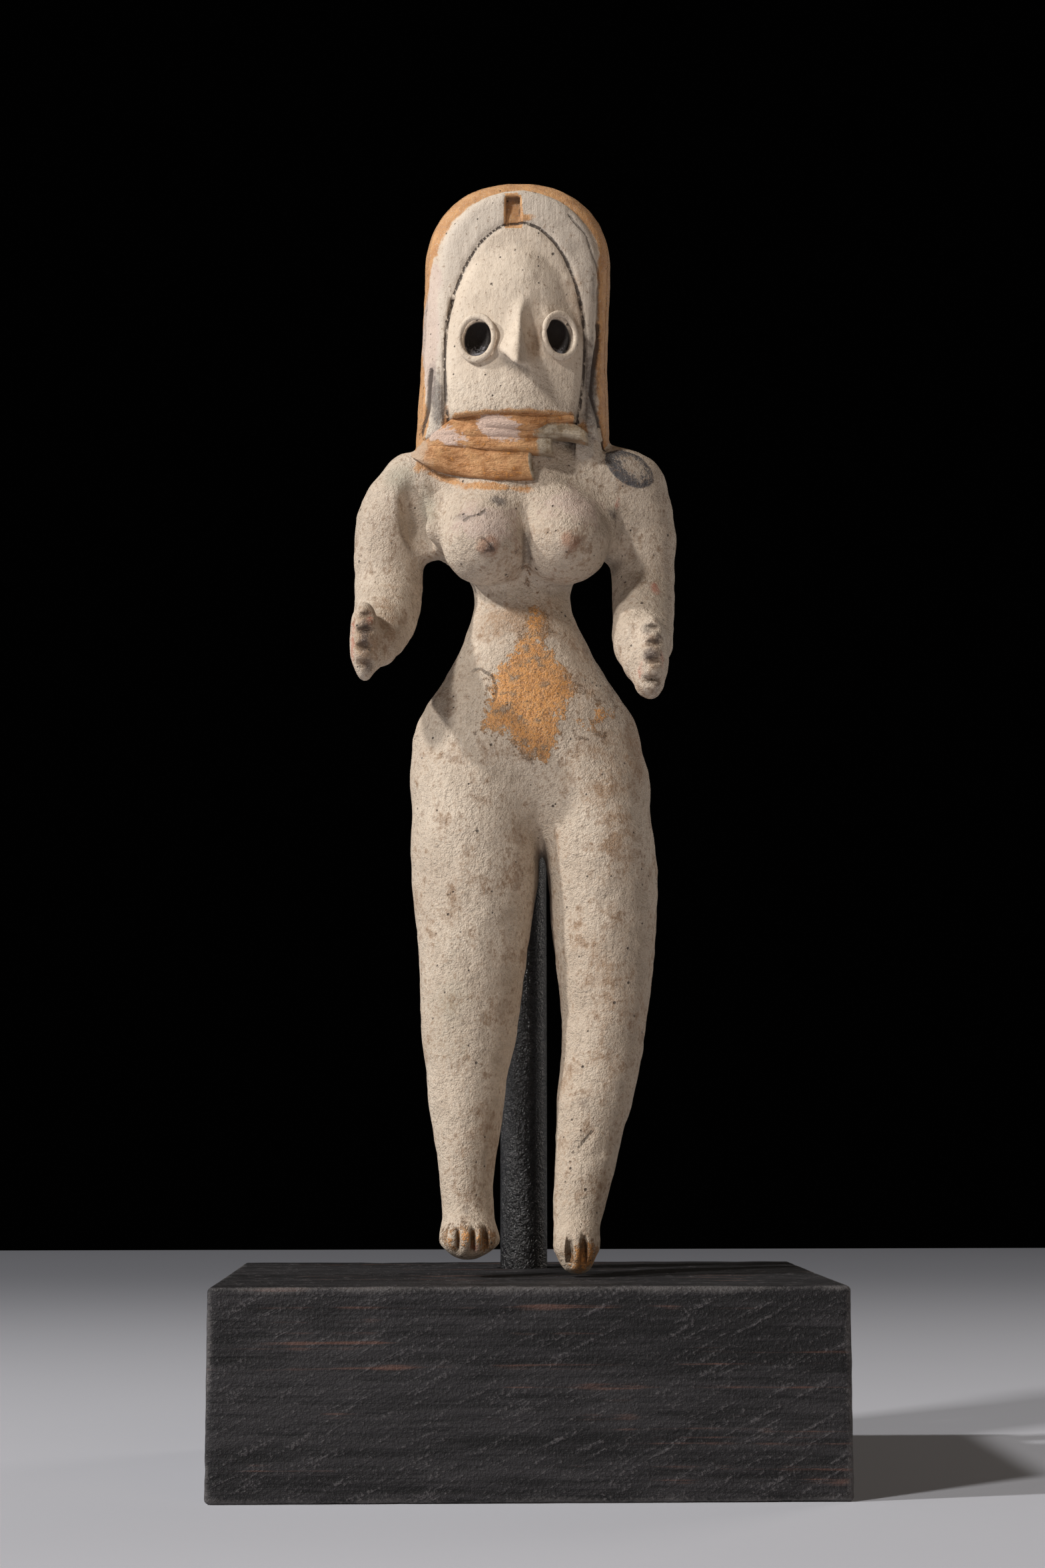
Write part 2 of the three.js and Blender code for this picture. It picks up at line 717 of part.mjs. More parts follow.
// A round rod or bore along Z, with its ends bevelled
function roundBar(radius, bottom, top, edge) {
  const profile = [
    new THREE.Vector2(0, bottom),
    new THREE.Vector2(radius - edge, bottom),
    new THREE.Vector2(radius, bottom + edge),
    new THREE.Vector2(radius, top - edge),
    new THREE.Vector2(radius - edge, top),
    new THREE.Vector2(0, top),
  ];
  return new THREE.LatheGeometry(profile, ROUND_SIDES).rotateX(Math.PI / 2);
}

// Details pressed into the clay or laid on it

const EYES = [
  { middle: [-7.4, -12.1, 142.8], turn: -0.3 },
  { middle: [5.5, -11.4, 143.5], turn: 0.46 },
];
const EYE_RING_RADIUS = 2.75;
const EYE_RING_COIL = 0.5;
const EYE_STRETCH = 1.24;
const EYE_PIT_DEPTH = 2.4;

const PARTING = { middle: [-1.7, -10.6, 164.3], size: [2.2, 5.4, 5.0] };

const TOE_GROOVES = [
  { foot: 0, offset: -1.9 },
  { foot: 0, offset: 0.3 },
  { foot: 0, offset: 2.1 },
  { foot: 1, offset: -1.2 },
  { foot: 1, offset: 1.0 },
];
const TOE_GROOVE_RADII = [0.5, 1.5, 3.4];

const FINGER_NOTCHES = 4;
const FINGER_NOTCH_RADII = [3.2, 1.1, 0.5];

function eyeMatrix(eye) {
  const matrix = new THREE.Matrix4().makeRotationZ(eye.turn);
  matrix.multiply(new THREE.Matrix4().makeScale(1, 1, EYE_STRETCH));
  return matrix.setPosition(...eye.middle);
}

function eyeRing(eye) {
  const coil = new THREE.TorusGeometry(EYE_RING_RADIUS, EYE_RING_COIL, 6, 24).rotateX(Math.PI / 2);
  return solidFromGeometry(coil, eyeMatrix(eye));
}

function ball(middle, radii) {
  const matrix = new THREE.Matrix4().makeScale(...radii).setPosition(...middle);
  return solidFromGeometry(new THREE.SphereGeometry(1, 10, 6), matrix);
}

function eyePit(eye) {
  const wide = EYE_RING_RADIUS - EYE_RING_COIL * 0.6;
  return ball(eye.middle, [wide, EYE_PIT_DEPTH, wide * EYE_STRETCH]);
}

function pressedDetails() {
  const cuts = [];
  for (const groove of TOE_GROOVES) {
    const foot = FEET[groove.foot];
    const spread = groove.offset / foot.radii[0];
    const y = foot.middle[1] - foot.radii[1] * Math.sqrt(1 - spread * spread);
    cuts.push(ball([foot.middle[0] + groove.offset, y, foot.middle[2] - 0.6], TOE_GROOVE_RADII));
  }
  for (const hand of HANDS) {
    for (let n = 0; n < FINGER_NOTCHES; n += 1) {
      const up = -0.62 + (1.24 * n) / (FINGER_NOTCHES - 1);
      const y = hand.middle[1] - hand.radii[1] * Math.sqrt(1 - up * up);
      cuts.push(ball([hand.middle[0], y, hand.middle[2] + up * hand.radii[2]], FINGER_NOTCH_RADII));
    }
  }
  const parting = new THREE.BoxGeometry(...PARTING.size).translate(...PARTING.middle);
  cuts.push(solidFromGeometry(parting));
  return cuts;
}

function idolGeometry() {
  const mesh = fieldMesh(clayField, GRID_LOW, GRID_HIGH, GRID_CELL);
  let solid = solidFromFaces(decimate(mesh, FIGURE_TRIANGLES));
  for (const eye of EYES) solid = solid.add(eyeRing(eye)).subtract(eyePit(eye));
  for (const cut of pressedDetails()) solid = solid.subtract(cut);
  const figure = geometryFromSolid(solid).scale(FIGURE_SCALE, FIGURE_SCALE, FIGURE_SCALE);
  const radius = ROD_DIAMETER / 2 + BED_CLEARANCE;
  const bed = roundBar(radius, -BLOCK_HEIGHT, BED_TOP * FIGURE_SCALE + BED_CLEARANCE, ROD_EDGE);
  bed.translate(ROD_X, rodY, 0);
  return geometryFromSolid(solidFromGeometry(figure).subtract(solidFromGeometry(bed)));
}

// Mount

const rodY = BED_FRONT * FIGURE_SCALE + ROD_DIAMETER / 2;
const rodTop = FIGURE_Z + BED_TOP * FIGURE_SCALE;
const rodBottom = HOLE_FLOOR + HOLE_CLEARANCE;

function blockGeometry() {
  const outline = new THREE.Shape();
  const halfWidth = BLOCK_WIDTH / 2 - BLOCK_EDGE;
  const halfDepth = BLOCK_DEPTH / 2 - BLOCK_EDGE;
  outline.moveTo(-halfWidth, -halfDepth);
  outline.lineTo(halfWidth, -halfDepth);
  outline.lineTo(halfWidth, halfDepth);
  outline.lineTo(-halfWidth, halfDepth);
  outline.closePath();
  const block = new THREE.ExtrudeGeometry(outline, {
    depth: BLOCK_HEIGHT - 2 * BLOCK_EDGE,
    bevelThickness: BLOCK_EDGE,
    bevelSize: BLOCK_EDGE,
    bevelSegments: 2,
    curveSegments: 4,
  });
  block.translate(0, 0, BLOCK_EDGE);
  const radius = ROD_DIAMETER / 2 + HOLE_CLEARANCE;
  const hole = roundBar(radius, HOLE_FLOOR, BLOCK_HEIGHT + 4 * ROD_EDGE, ROD_EDGE);
  hole.translate(ROD_X, rodY, 0);
  return geometryFromSolid(solidFromGeometry(block).subtract(solidFromGeometry(hole)));
}

// Materials and assembly

const clayMaterial = new THREE.MeshStandardMaterial({ color: 0xb7a58d, roughness: 0.9, metalness: 0 });
const rodMaterial = new THREE.MeshStandardMaterial({ color: 0x121214, roughness: 0.35, metalness: 0 });
const woodMaterial = new THREE.MeshStandardMaterial({ color: 0x1b191b, roughness: 0.75, metalness: 0 });

const idol = new THREE.Mesh(idolGeometry(), clayMaterial);
idol.name = 'idol';
idol.position.z = FIGURE_Z;

const rod = new THREE.Mesh(roundBar(ROD_DIAMETER / 2, rodBottom, rodTop, ROD_EDGE), rodMaterial);
rod.name = 'mount_rod';
rod.position.set(ROD_X, rodY, 0);

const block = new THREE.Mesh(blockGeometry(), woodMaterial);
block.name = 'wood_block';

const part = new THREE.Group();
part.add(block, rod, idol);

export default part;
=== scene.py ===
# %% [markdown]
# # A clay goddess idol on its display mount
#
# The real object is a hand-modelled clay figure, about 17 cm tall, that was fired and painted, and that
# has spent a long time in the ground. A round black rod in a black wooden block holds it upright.
# This lesson rebuilds its looks around a finished construction model: the model gives the sizes and
# places, and every surface here is worked out with numpy and handed to Blender as a mesh.

# %% The frame: the construction model that everything is fitted to
import itertools
import math

import bpy
import numpy as np
from mathutils import Matrix, Vector


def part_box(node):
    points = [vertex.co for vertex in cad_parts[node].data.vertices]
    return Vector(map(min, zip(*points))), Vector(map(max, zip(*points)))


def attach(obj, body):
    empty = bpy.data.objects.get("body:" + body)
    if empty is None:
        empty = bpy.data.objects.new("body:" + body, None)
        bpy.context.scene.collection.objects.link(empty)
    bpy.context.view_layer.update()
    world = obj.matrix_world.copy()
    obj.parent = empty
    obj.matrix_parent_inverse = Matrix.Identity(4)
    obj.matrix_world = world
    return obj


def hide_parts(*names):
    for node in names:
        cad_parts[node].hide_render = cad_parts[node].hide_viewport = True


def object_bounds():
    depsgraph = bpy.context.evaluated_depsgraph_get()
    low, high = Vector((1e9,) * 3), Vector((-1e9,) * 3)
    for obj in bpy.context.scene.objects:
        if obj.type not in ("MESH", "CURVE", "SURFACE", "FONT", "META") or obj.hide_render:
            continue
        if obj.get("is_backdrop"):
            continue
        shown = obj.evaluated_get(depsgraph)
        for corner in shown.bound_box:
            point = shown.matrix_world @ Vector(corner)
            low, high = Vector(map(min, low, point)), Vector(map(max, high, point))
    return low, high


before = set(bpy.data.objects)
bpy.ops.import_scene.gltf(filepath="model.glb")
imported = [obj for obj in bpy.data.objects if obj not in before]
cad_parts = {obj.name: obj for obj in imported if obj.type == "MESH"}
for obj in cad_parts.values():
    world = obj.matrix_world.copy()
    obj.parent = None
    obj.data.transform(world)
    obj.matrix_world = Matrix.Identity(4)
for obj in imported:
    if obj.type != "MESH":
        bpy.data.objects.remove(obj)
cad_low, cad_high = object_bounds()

MM = 0.001
MOUNT_GAP = 0.3
block_low, block_high = (np.array(corner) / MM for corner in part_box("wood_block"))
rod_low, rod_high = (np.array(corner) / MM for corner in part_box("mount_rod"))
rod_middle = (rod_low + rod_high)[:2] / 2
rod_radius = (rod_high[0] - rod_low[0]) / 2
figure_lift = block_high[2] + MOUNT_GAP
figure_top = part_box("idol")[1].z / MM - figure_lift
print(f"block {np.round(block_high - block_low, 1)} mm, figure {figure_top:.1f} mm tall")

# %% [markdown]
# ## From arrays to a mesh
#
# Blender can build a mesh from Python lists, but whole numpy arrays are much quicker. A piece here is an
# array of points in millimetres and one or more arrays of faces. Its object stays at the origin and its
# place is in its points, so that its object coordinates and the scene's are the same.


# %% One helper that makes every piece
def add_piece(name, points, faces, material, node=None, paint=None):
    """A mesh object from points in millimetres and face arrays of three or four columns.

    paint is a dict of arrays, one value for each point, that the material reads by name."""
    mesh = bpy.data.meshes.new(name)
    mesh.vertices.add(len(points))
    mesh.vertices.foreach_set("co", (points * MM).astype(np.float32).ravel())
    corners = np.concatenate([part.ravel() for part in faces]).astype(np.int32)
    sizes = np.concatenate([np.full(len(part), part.shape[1]) for part in faces])
    mesh.loops.add(len(corners))
    mesh.loops.foreach_set("vertex_index", corners)
    mesh.polygons.add(len(sizes))
    mesh.polygons.foreach_set("loop_start", (np.cumsum(sizes) - sizes).astype(np.int32))
    mesh.polygons.foreach_set("use_smooth", np.ones(len(sizes), bool))
    for key, values in (paint or {}).items():
        layer = mesh.attributes.new(key, "FLOAT", "POINT")
        layer.data.foreach_set("value", np.asarray(values, np.float32))
    mesh.update(calc_edges=True)
    mesh.validate()
    mesh.materials.append(material)
    piece = bpy.data.objects.new(name, mesh)
    bpy.context.scene.collection.objects.link(piece)
    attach(piece, "root")
    if node:
        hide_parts(node)
    triangles = int((sizes - 2).sum())
    print(f"{name}: {len(points)} points, {triangles} triangles")
    return piece


def tube_faces(rings, sides):
    """Quads of rings of points joined one to the next, and the two fans that close the tube.

    Point n of ring m has number m * sides + n. The start pole and the end pole come after the rings."""
    ring, side = np.meshgrid(np.arange(rings - 1), np.arange(sides), indexing="ij")
    here = ring * sides + side
    beside = ring * sides + (side + 1) % sides
    quads = np.stack([here, beside, beside + sides, here + sides], -1).reshape(-1, 4)
    first = np.arange(sides)
    after = (first + 1) % sides
    last = (rings - 1) * sides
    start_pole, end_pole = rings * sides, rings * sides + 1
    start_fan = np.stack([after, first, np.full(sides, start_pole)], 1)
    end_fan = np.stack([first + last, after + last, np.full(sides, end_pole)], 1)
    return [quads, np.concatenate([start_fan, end_fan])]


def close_tube(rings):
    """Points of a tube, as an array rings x sides x 3, with the middle of each end ring added."""
    flat = rings.reshape(-1, 3)
    return np.concatenate([flat, rings[0].mean(0)[None], rings[-1].mean(0)[None]])


# %% [markdown]
# ## Clay as a field
#
# The maker rolled and pinched lumps of clay and pressed them together until they ran into each other.
# A grid of two parameters can't follow a body that branches into legs, arms and a hood. So the clay is a
# field instead: a function of a point that is negative inside. Each lump is a simple shape, and a smooth
# minimum runs two lumps together as a thumb would. Numpy works the function out for a whole grid at once.


# %% The thumb: smooth unions, and the curve that carries a form
def smooth_min(a, b, radius):
    """The lesser of two fields, rounded by a parabola where they are within radius of each other."""
    overlap = np.maximum(radius - np.abs(a - b), 0) / radius
    return np.minimum(a, b) - overlap * overlap * radius / 4


def smooth_max(a, b, radius):
    """The greater of two fields, with the edge where they meet rounded off."""
    return -smooth_min(-a, -b, radius)


def ramp(value, low, high):
    """0 below low, 1 above high, and a straight line between them."""
    return np.clip((value - low) / (high - low), 0, 1)


def through_rows(rows, position):
    """Smooth curve through rows whose first number is the place along it.

    It is a cubic between two rows, and its slope at a row is that between the row's two neighbours."""
    rows = np.array(rows, np.float32)
    before = np.concatenate([rows[:1], rows[:-1]])
    after = np.concatenate([rows[1:], rows[-1:]])
    slope = (after - before) / (after[:, :1] - before[:, :1])
    here = np.clip(position, rows[0, 0], rows[-1, 0])
    n = np.clip(np.searchsorted(rows[:, 0], here, side="right") - 1, 0, len(rows) - 2)
    span = rows[n + 1, :1] - rows[n, :1]
    t = (here[..., None] - rows[n, :1]) / span
    curve = rows[n] + (rows[n + 1] - rows[n]) * t * t * (3 - 2 * t)
    curve += slope[n] * span * t * (1 - t) ** 2 + slope[n + 1] * span * t * t * (t - 1)
    return np.moveaxis(curve, -1, 0)


# %% The lumps: an egg, an upright column and a limb
def egg(point, middle, radii):
    """Near the distance to an ellipsoid, or to an ellipse where two axes are given."""
    near = slope = 0
    for place, centre, radius in zip(point, middle, radii):
        share = (place - centre + 1e-4) / radius
        near = near + share * share
        slope = slope + (share / radius) ** 2
    near = np.sqrt(near)
    return near * (near - 1) / np.sqrt(slope)


def column(point, rows):
    """Upright body of elliptical sections. Rows: height, middle x, middle y, half width, half depth."""
    x, y, z = point
    _, middle_x, middle_y, half_width, half_depth = through_rows(rows, z)
    side = egg((x, y), (middle_x, middle_y), (half_width, half_depth))
    beyond = np.abs(z - np.clip(z, rows[0][0], rows[-1][0]))
    return np.where(beyond > 0, np.hypot(np.maximum(side, 0), beyond), side)


LIMB_PIECES = 9


def limb(point, rows):
    """Round limb: the nearest of short cones along a bent line. Rows: place along it, x, y, z, radius."""
    x, y, z = point
    joints = through_rows(rows, np.linspace(0, rows[-1][0], LIMB_PIECES + 1)).T
    nearest = np.float32(1e3)
    for (_, ax, ay, az, ar), (_, bx, by, bz, br) in itertools.pairwise(joints):
        run_x, run_y, run_z = bx - ax, by - ay, bz - az
        length = run_x**2 + run_y**2 + run_z**2
        t = np.clip(((x - ax) * run_x + (y - ay) * run_y + (z - az) * run_z) / length, 0, 1)
        off = (x - ax - run_x * t) ** 2 + (y - ay - run_y * t) ** 2 + (z - az - run_z * t) ** 2
        nearest = np.minimum(nearest, np.sqrt(off) - ar - (br - ar) * t)
    return nearest


def arch(x, z, half_width, spring, rise, power):
    """Outline in the front view with upright sides below the spring and a round crown above it.

    The value is near the distance: how far the ring is from 1, over how fast it grows there."""
    side = np.abs(x) / half_width
    up = np.maximum(z - spring, 0) / rise
    ring = (side**power + up**power + 1e-5) ** (1 / power)
    growth = np.hypot(side ** (power - 1) / half_width, up ** (power - 1) / rise) * ring ** (1 - power)
    return (ring - 1) / np.maximum(growth, 0.03)


# %% [markdown]
# ## The body
#
# Trunk and legs are columns of ovals, measured up from the toes. The legs taper to small pointed feet that
# hang down, and a groove parts them up to the knees and beyond. The arms are bent limbs that end in flat
# paddles with notches pressed in for fingers.

# %% Trunk, legs, arms and hands
TRUNK = [
    (65, 2.3, 1.4, 5.0, 3.6),
    (68, 2.2, 1.4, 11.0, 6.0),
    (73, 1.4, 1.0, 17.0, 8.4),
    (80.7, 0.5, 0.5, 17.8, 9.2),
    (85, 0.4, 0.2, 16.9, 8.8),
    (91, 0.4, 0.2, 13.0, 7.6),
    (97.5, 0.4, 0.5, 9.6, 6.6),
    (103.5, 0.1, 0.8, 7.6, 6.0),
    (108, 0.0, 0.8, 8.6, 6.2),
    (114, -0.6, 1.0, 13.5, 7.4),
    (120, -1.0, 1.0, 16.5, 7.8),
    (125, -0.9, 1.2, 16.0, 6.8),
    (128.5, -0.9, 1.5, 11.0, 5.5),
]
LEFT_LEG = [
    (5, -8.2, -8.2, 4.0, 3.4),
    (9, -8.5, -6.8, 3.8, 3.7),
    (14, -8.8, -5.8, 3.9, 4.2),
    (21, -8.6, -4.8, 4.9, 5.1),
    (27, -8.6, -4.0, 5.8, 5.8),
    (35, -8.3, -2.8, 7.0, 6.7),
    (43, -8.0, -1.8, 7.7, 7.5),
    (51, -7.5, -1.0, 8.6, 8.3),
    (60, -7.4, -0.4, 9.9, 9.0),
    (69, -7.6, 0.2, 9.8, 9.5),
    (77, -7.6, 0.6, 8.8, 8.8),
    (84, -6.6, 0.6, 6.2, 6.2),
]
RIGHT_LEG = [
    (4, 7.6, -9.2, 3.1, 3.4),
    (8, 8.0, -7.8, 3.6, 3.7),
    (13, 8.7, -6.4, 4.2, 4.3),
    (21, 9.9, -5.0, 5.1, 5.2),
    (27, 11.0, -4.0, 5.9, 5.9),
    (35, 12.2, -2.8, 6.3, 6.7),
    (43, 12.6, -1.8, 7.2, 7.5),
    (51, 12.4, -1.0, 8.0, 8.3),
    (60, 12.2, -0.4, 8.5, 9.0),
    (69, 11.3, 0.2, 8.7, 9.5),
    (77, 9.6, 0.6, 8.6, 8.8),
    (84, 7.6, 0.6, 6.4, 6.2),
]
LEFT_FOOT = ((-8.1, -9.4, 5.4), (4.0, 3.9, 3.1))
RIGHT_FOOT = ((7.6, -10.4, 3.9), (3.2, 3.7, 4.0))
BUTTOCKS = [((-7.6, 5.4, 73), (9.2, 8.4, 10)), ((10.4, 5.4, 73), (9.0, 8.4, 10))]
TOE_GROOVES = [(LEFT_FOOT, -1.9), (LEFT_FOOT, 0.3), (LEFT_FOOT, 2.1), (RIGHT_FOOT, -1.2), (RIGHT_FOOT, 1.0)]
TOE_GROOVE_RADII = (0.5, 1.5, 3.4)
CREASE = [
    (0, 1.6, -10.4, 78, 0.2),
    (6, 2.1, -9.6, 72, 1.0),
    (12, 2.4, -8.2, 66, 1.4),
    (16, 2.6, -7.0, 62, 1.2),
]
LEG_BLEND, FOOT_BLEND, SEAT_BLEND, HIP_BLEND, CREASE_BLEND, TOE_BLEND = 0.9, 2, 1.5, 3, 2.0, 0.4


def lower_body(point):
    """Two legs that run together at the crotch, the feet, and the buttocks behind."""
    legs = smooth_min(column(point, LEFT_LEG), column(point, RIGHT_LEG), LEG_BLEND)
    for middle, radii in (LEFT_FOOT, RIGHT_FOOT):
        legs = smooth_min(legs, egg(point, middle, radii), FOOT_BLEND)
    seat = smooth_min(egg(point, *BUTTOCKS[0]), egg(point, *BUTTOCKS[1]), SEAT_BLEND)
    body = smooth_min(legs, seat, HIP_BLEND)
    body = smooth_max(body, -limb(point, CREASE), CREASE_BLEND)
    for (middle, radii), offset in TOE_GROOVES:
        y = middle[1] - radii[1] * math.sqrt(1 - (offset / radii[0]) ** 2)
        groove = egg(point, (middle[0] + offset, y, middle[2] - 0.6), TOE_GROOVE_RADII)
        body = smooth_max(body, -groove, TOE_BLEND)
    return body


LEFT_ARM = [
    (0, -16.8, 0.8, 121.9, 6.2),
    (8, -20.5, 0.8, 116.4, 5.9),
    (18, -21.1, 0.3, 106.5, 5.3),
    (26, -21.4, -4.0, 100.0, 4.9),
    (34, -22.6, -9.5, 95.5, 3.9),
    (40, -23.5, -13.0, 92.8, 2.4),
]
RIGHT_ARM = [
    (0, 16.4, 0.8, 121.5, 6.5),
    (8, 18.6, 0.8, 115.0, 5.5),
    (18, 18.9, 0.2, 106.5, 4.9),
    (26, 18.7, -4.5, 100.0, 4.9),
    (34, 18.2, -9.5, 94.5, 4.4),
    (42, 18.6, -13.0, 88.6, 2.0),
]
HANDS = [((-24.3, -13.6, 94.6), (2.4, 3.6, 6.0)), ((19.2, -12.2, 92.8), (2.5, 4.4, 6.4))]
WEBS = [((-14.6, -1.4, 114.0), (3.6, 5.6, 4.0)), ((13.8, -1.0, 114.4), (3.4, 5.2, 4.2))]
ARMPIT_FOLDS = [
    [
        (0, -17.6, -6.4, 122.5, 0.8),
        (4, -17.4, -5.6, 119.0, 1.9),
        (9, -16.7, -4.6, 114.5, 2.1),
        (14, -15.2, -4.4, 110.5, 1.5),
    ],
    [(0, 15.8, -7.4, 119.0, 0.4), (5, 14.8, -6.2, 115.0, 1.2), (9, 13.8, -5.4, 111.0, 1.0)],
]
FINGER_NOTCHES = (-0.62, -0.2, 0.22, 0.62)
FINGER_NOTCH_RADII = (3.2, 1.1, 0.55)
BREASTS = [((-5.7, -6.4, 111.6), (6.9, 7.7, 6.5)), ((6.3, -6.4, 112.0), (7.0, 7.7, 6.8))]
NIPPLES = [((-5.8, -13.3, 109.6), (1.5, 0.9, 1.4)), ((6.9, -13.4, 110.4), (1.2, 1.0, 1.2))]
NECK = ((-1.4, 0.6), (9.4, 9.2))
NECK_LOW, NECK_HIGH = 112, 140
HAND_BLEND, NOTCH_BLEND, WEB_BLEND, FOLD_BLEND = 1.2, 0.3, 1.5, 1.2


def chest(point):
    """The trunk and the neck in it."""
    z = point[2]
    neck = np.maximum(egg(point[:2], *NECK), np.maximum(z - NECK_HIGH, NECK_LOW - z))
    return smooth_min(column(point, TRUNK), neck, 7)


def shoulders(point):
    """The chest with both arms. Their joint is drawn out broadly on top and stays a crease below."""
    x, y, z = point
    arms = np.minimum(limb(point, LEFT_ARM), limb(point, RIGHT_ARM))
    for middle, radii in HANDS:
        arms = smooth_min(arms, egg(point, middle, radii), HAND_BLEND)
        for share in FINGER_NOTCHES:
            y_notch = middle[1] - radii[1] * math.sqrt(1 - share * share)
            notch = egg(point, (middle[0], y_notch, middle[2] + share * radii[2]), FINGER_NOTCH_RADII)
            arms = smooth_max(arms, -notch, NOTCH_BLEND)
    trunk = chest(point)
    for middle, radii in WEBS:
        trunk = smooth_min(trunk, egg(point, middle, radii), WEB_BLEND)
    blend = 1.8 + 5.0 * ramp(z, 113, 123) * ramp(x, -8, 8) + 2.0 * ramp(z, 120, 126)
    body = smooth_min(trunk, arms, blend)
    for fold in ARMPIT_FOLDS:
        body = smooth_max(body, -limb(point, fold), FOLD_BLEND)
    return body


def bust(point):
    """Two round breasts with their nipples."""
    pair = smooth_min(egg(point, *BREASTS[0]), egg(point, *BREASTS[1]), 0.7)
    for middle, radii in NIPPLES:
        pair = smooth_min(pair, egg(point, middle, radii), 0.8)
    return pair


# %% [markdown]
# ## The head
#
# A tall hood of hair falls to the shoulders. In front of it lies a band of hair that parts at the brow,
# and inside the band sits the face: one smooth cone of clay, cut off straight at the chin, with a
# pinched nose. A narrow channel runs between the face and the band.

# %% Hood, band, face and nose
HOOD = dict(half_width=14.8, spring=157.8, rise=14.0, low=124, middle_y=0.8, half_depth=11.6, front=-7.0)
BAND = dict(half_width=12.7, spring=156.5, rise=11.6, low=129.6, front=-9.4)
FACE = dict(half_width=10.6, spring=142, rise=20.2, low=130.9, front=-12.6, chin_half_width=9.8)
FACE_ASIDE = -0.1
FACE_BEND, BROW_BEND, FACE_LEAN = 0.029, 0.022, 4.6
HAIR_FLARE, HAIR_GATHER, HAIR_FALL = 0.7, 2.4, 12
THROAT_HALF_WIDTH, THROAT_BACK = 9.8, 0.8
CHANNEL_WIDTH = 0.6
CHANNEL_FLOOR = -7.6
PARTING = dict(x=(-2.8, -0.6), z=(161.8, 166.8), floor=-9.1)
NOSE_ROOT = (-0.3, -12.6, 149.4)
NOSE_TIP = (-1.3, -18.2, 136.3)
NOSE_LEFT = (-5.0, -11.7, 141.8)
NOSE_RIGHT = (1.3, -11.4, 138.6)
EYES = [dict(middle=(-7.4, -12.1, 142.8), turn=-0.3), dict(middle=(5.5, -11.4, 143.5), turn=0.46)]
NOSE_EDGE, NOSE_TOP_EDGE, NOSE_HOLLOW_EDGE = 1.1, 2.2, 0.9
NOSE_HOLLOW = ((1.9, -13.2, 144.8), (1.8, 2.0, 5.0))
EYE_RING, EYE_COIL, EYE_STRETCH, EYE_PIT_DEPTH = 2.78, 0.44, 1.24, 2.6


def head_x(z):
    """The head leans a little to one side as it rises."""
    return -1.65 + 0.028 * (z - 129)


def hood(point):
    """A tall bell: a rounded square in plan and an arch in front view, flared at its hem."""
    x, y, z = point
    up = np.maximum(z - HOOD["spring"], 0) / HOOD["rise"]
    flare = HAIR_FLARE * ramp(-z, -140, -126)
    gather = HAIR_GATHER * ramp(-z, -HOOD["low"], HAIR_FALL - HOOD["low"])
    across = np.abs(x - head_x(z)) / (HOOD["half_width"] + flare - gather)
    deep = np.abs(y - HOOD["middle_y"]) / (HOOD["half_depth"] - flare)
    ring = (across**2.6 + deep**2.6) ** (1 / 2.6)
    shell = ((ring**2.06 + up**2.06) ** (1 / 2.06) - 1) * 12
    hem = HOOD["low"] - HAIR_FALL * ramp(y, 0, 6)
    return smooth_max(smooth_max(shell, HOOD["front"] - y, 1.4), hem - z, 2.5)


def band_outline(x, z):
    """Front outline of the band, negative inside it. Its two locks flare out at their ends."""
    half_width = BAND["half_width"] + 1.5 * ramp(-z, -136, -128)
    return arch(x - head_x(z), z, half_width, BAND["spring"], BAND["rise"], 2)


def face_outline(x, z):
    """Front outline of the face: a tall arch that narrows to the chin, negative inside it."""
    below = ramp(-z, -FACE["spring"], -FACE["low"])
    half_width = FACE["half_width"] + (FACE["chin_half_width"] - FACE["half_width"]) * below**2
    return arch(x - head_x(z) - FACE_ASIDE, z, half_width, FACE["spring"], FACE["rise"], 2.0)


def band(point):
    """The band of hair, with the channel round the face and the parting cut into it."""
    x, y, z = point
    front = BAND["front"] + 0.012 * (x - head_x(z)) ** 2 - y
    body = smooth_max(band_outline(x, z), front, 1.8)
    ends = BAND["low"] - 0.35 * (np.abs(x - head_x(z)) - 9)
    return np.maximum(smooth_max(body, ends - z, 0.8), y - 4)


def channel(point):
    """Narrow slot just outside the face. It closes to a scratch over the brow."""
    x, y, z = point
    widen = 0.25 * ramp(-z, -142, -131) * (1 + ramp(x, -4, 4))
    middle = face_outline(x, z) - CHANNEL_WIDTH / 2 - widen
    floor = CHANNEL_FLOOR - 5 * ramp(z, 150, 160)
    return np.maximum(np.abs(middle) - CHANNEL_WIDTH / 2 - widen, y - floor)


def parting(point):
    """The square notch over the brow where the band's two halves part."""
    x, y, z = point
    (left, right), (low, high) = PARTING["x"], PARTING["z"]
    across = np.abs(x - (left + right) / 2) - (right - left) / 2
    up = np.abs(z - (low + high) / 2) - (high - low) / 2
    return np.maximum(np.maximum(across, up), y - PARTING["floor"] - 0.25 * (z - low))


def wedge(point, root, tip, left, right):
    """A pinched nose: the space below three planes that meet at its tip, with its edges rounded."""
    root, tip, left, right = (np.array(p) for p in (root, tip, left, right))
    sides = []
    for a, b, c in ((root, tip, left), (root, right, tip), (tip, right, left)):
        normal = np.cross(b - a, c - a)
        normal = -normal / np.linalg.norm(normal)
        sides.append(sum((place - start) * n for place, start, n in zip(point, a, normal)))
    return smooth_max(smooth_max(sides[0], sides[1], NOSE_EDGE), sides[2], NOSE_EDGE)


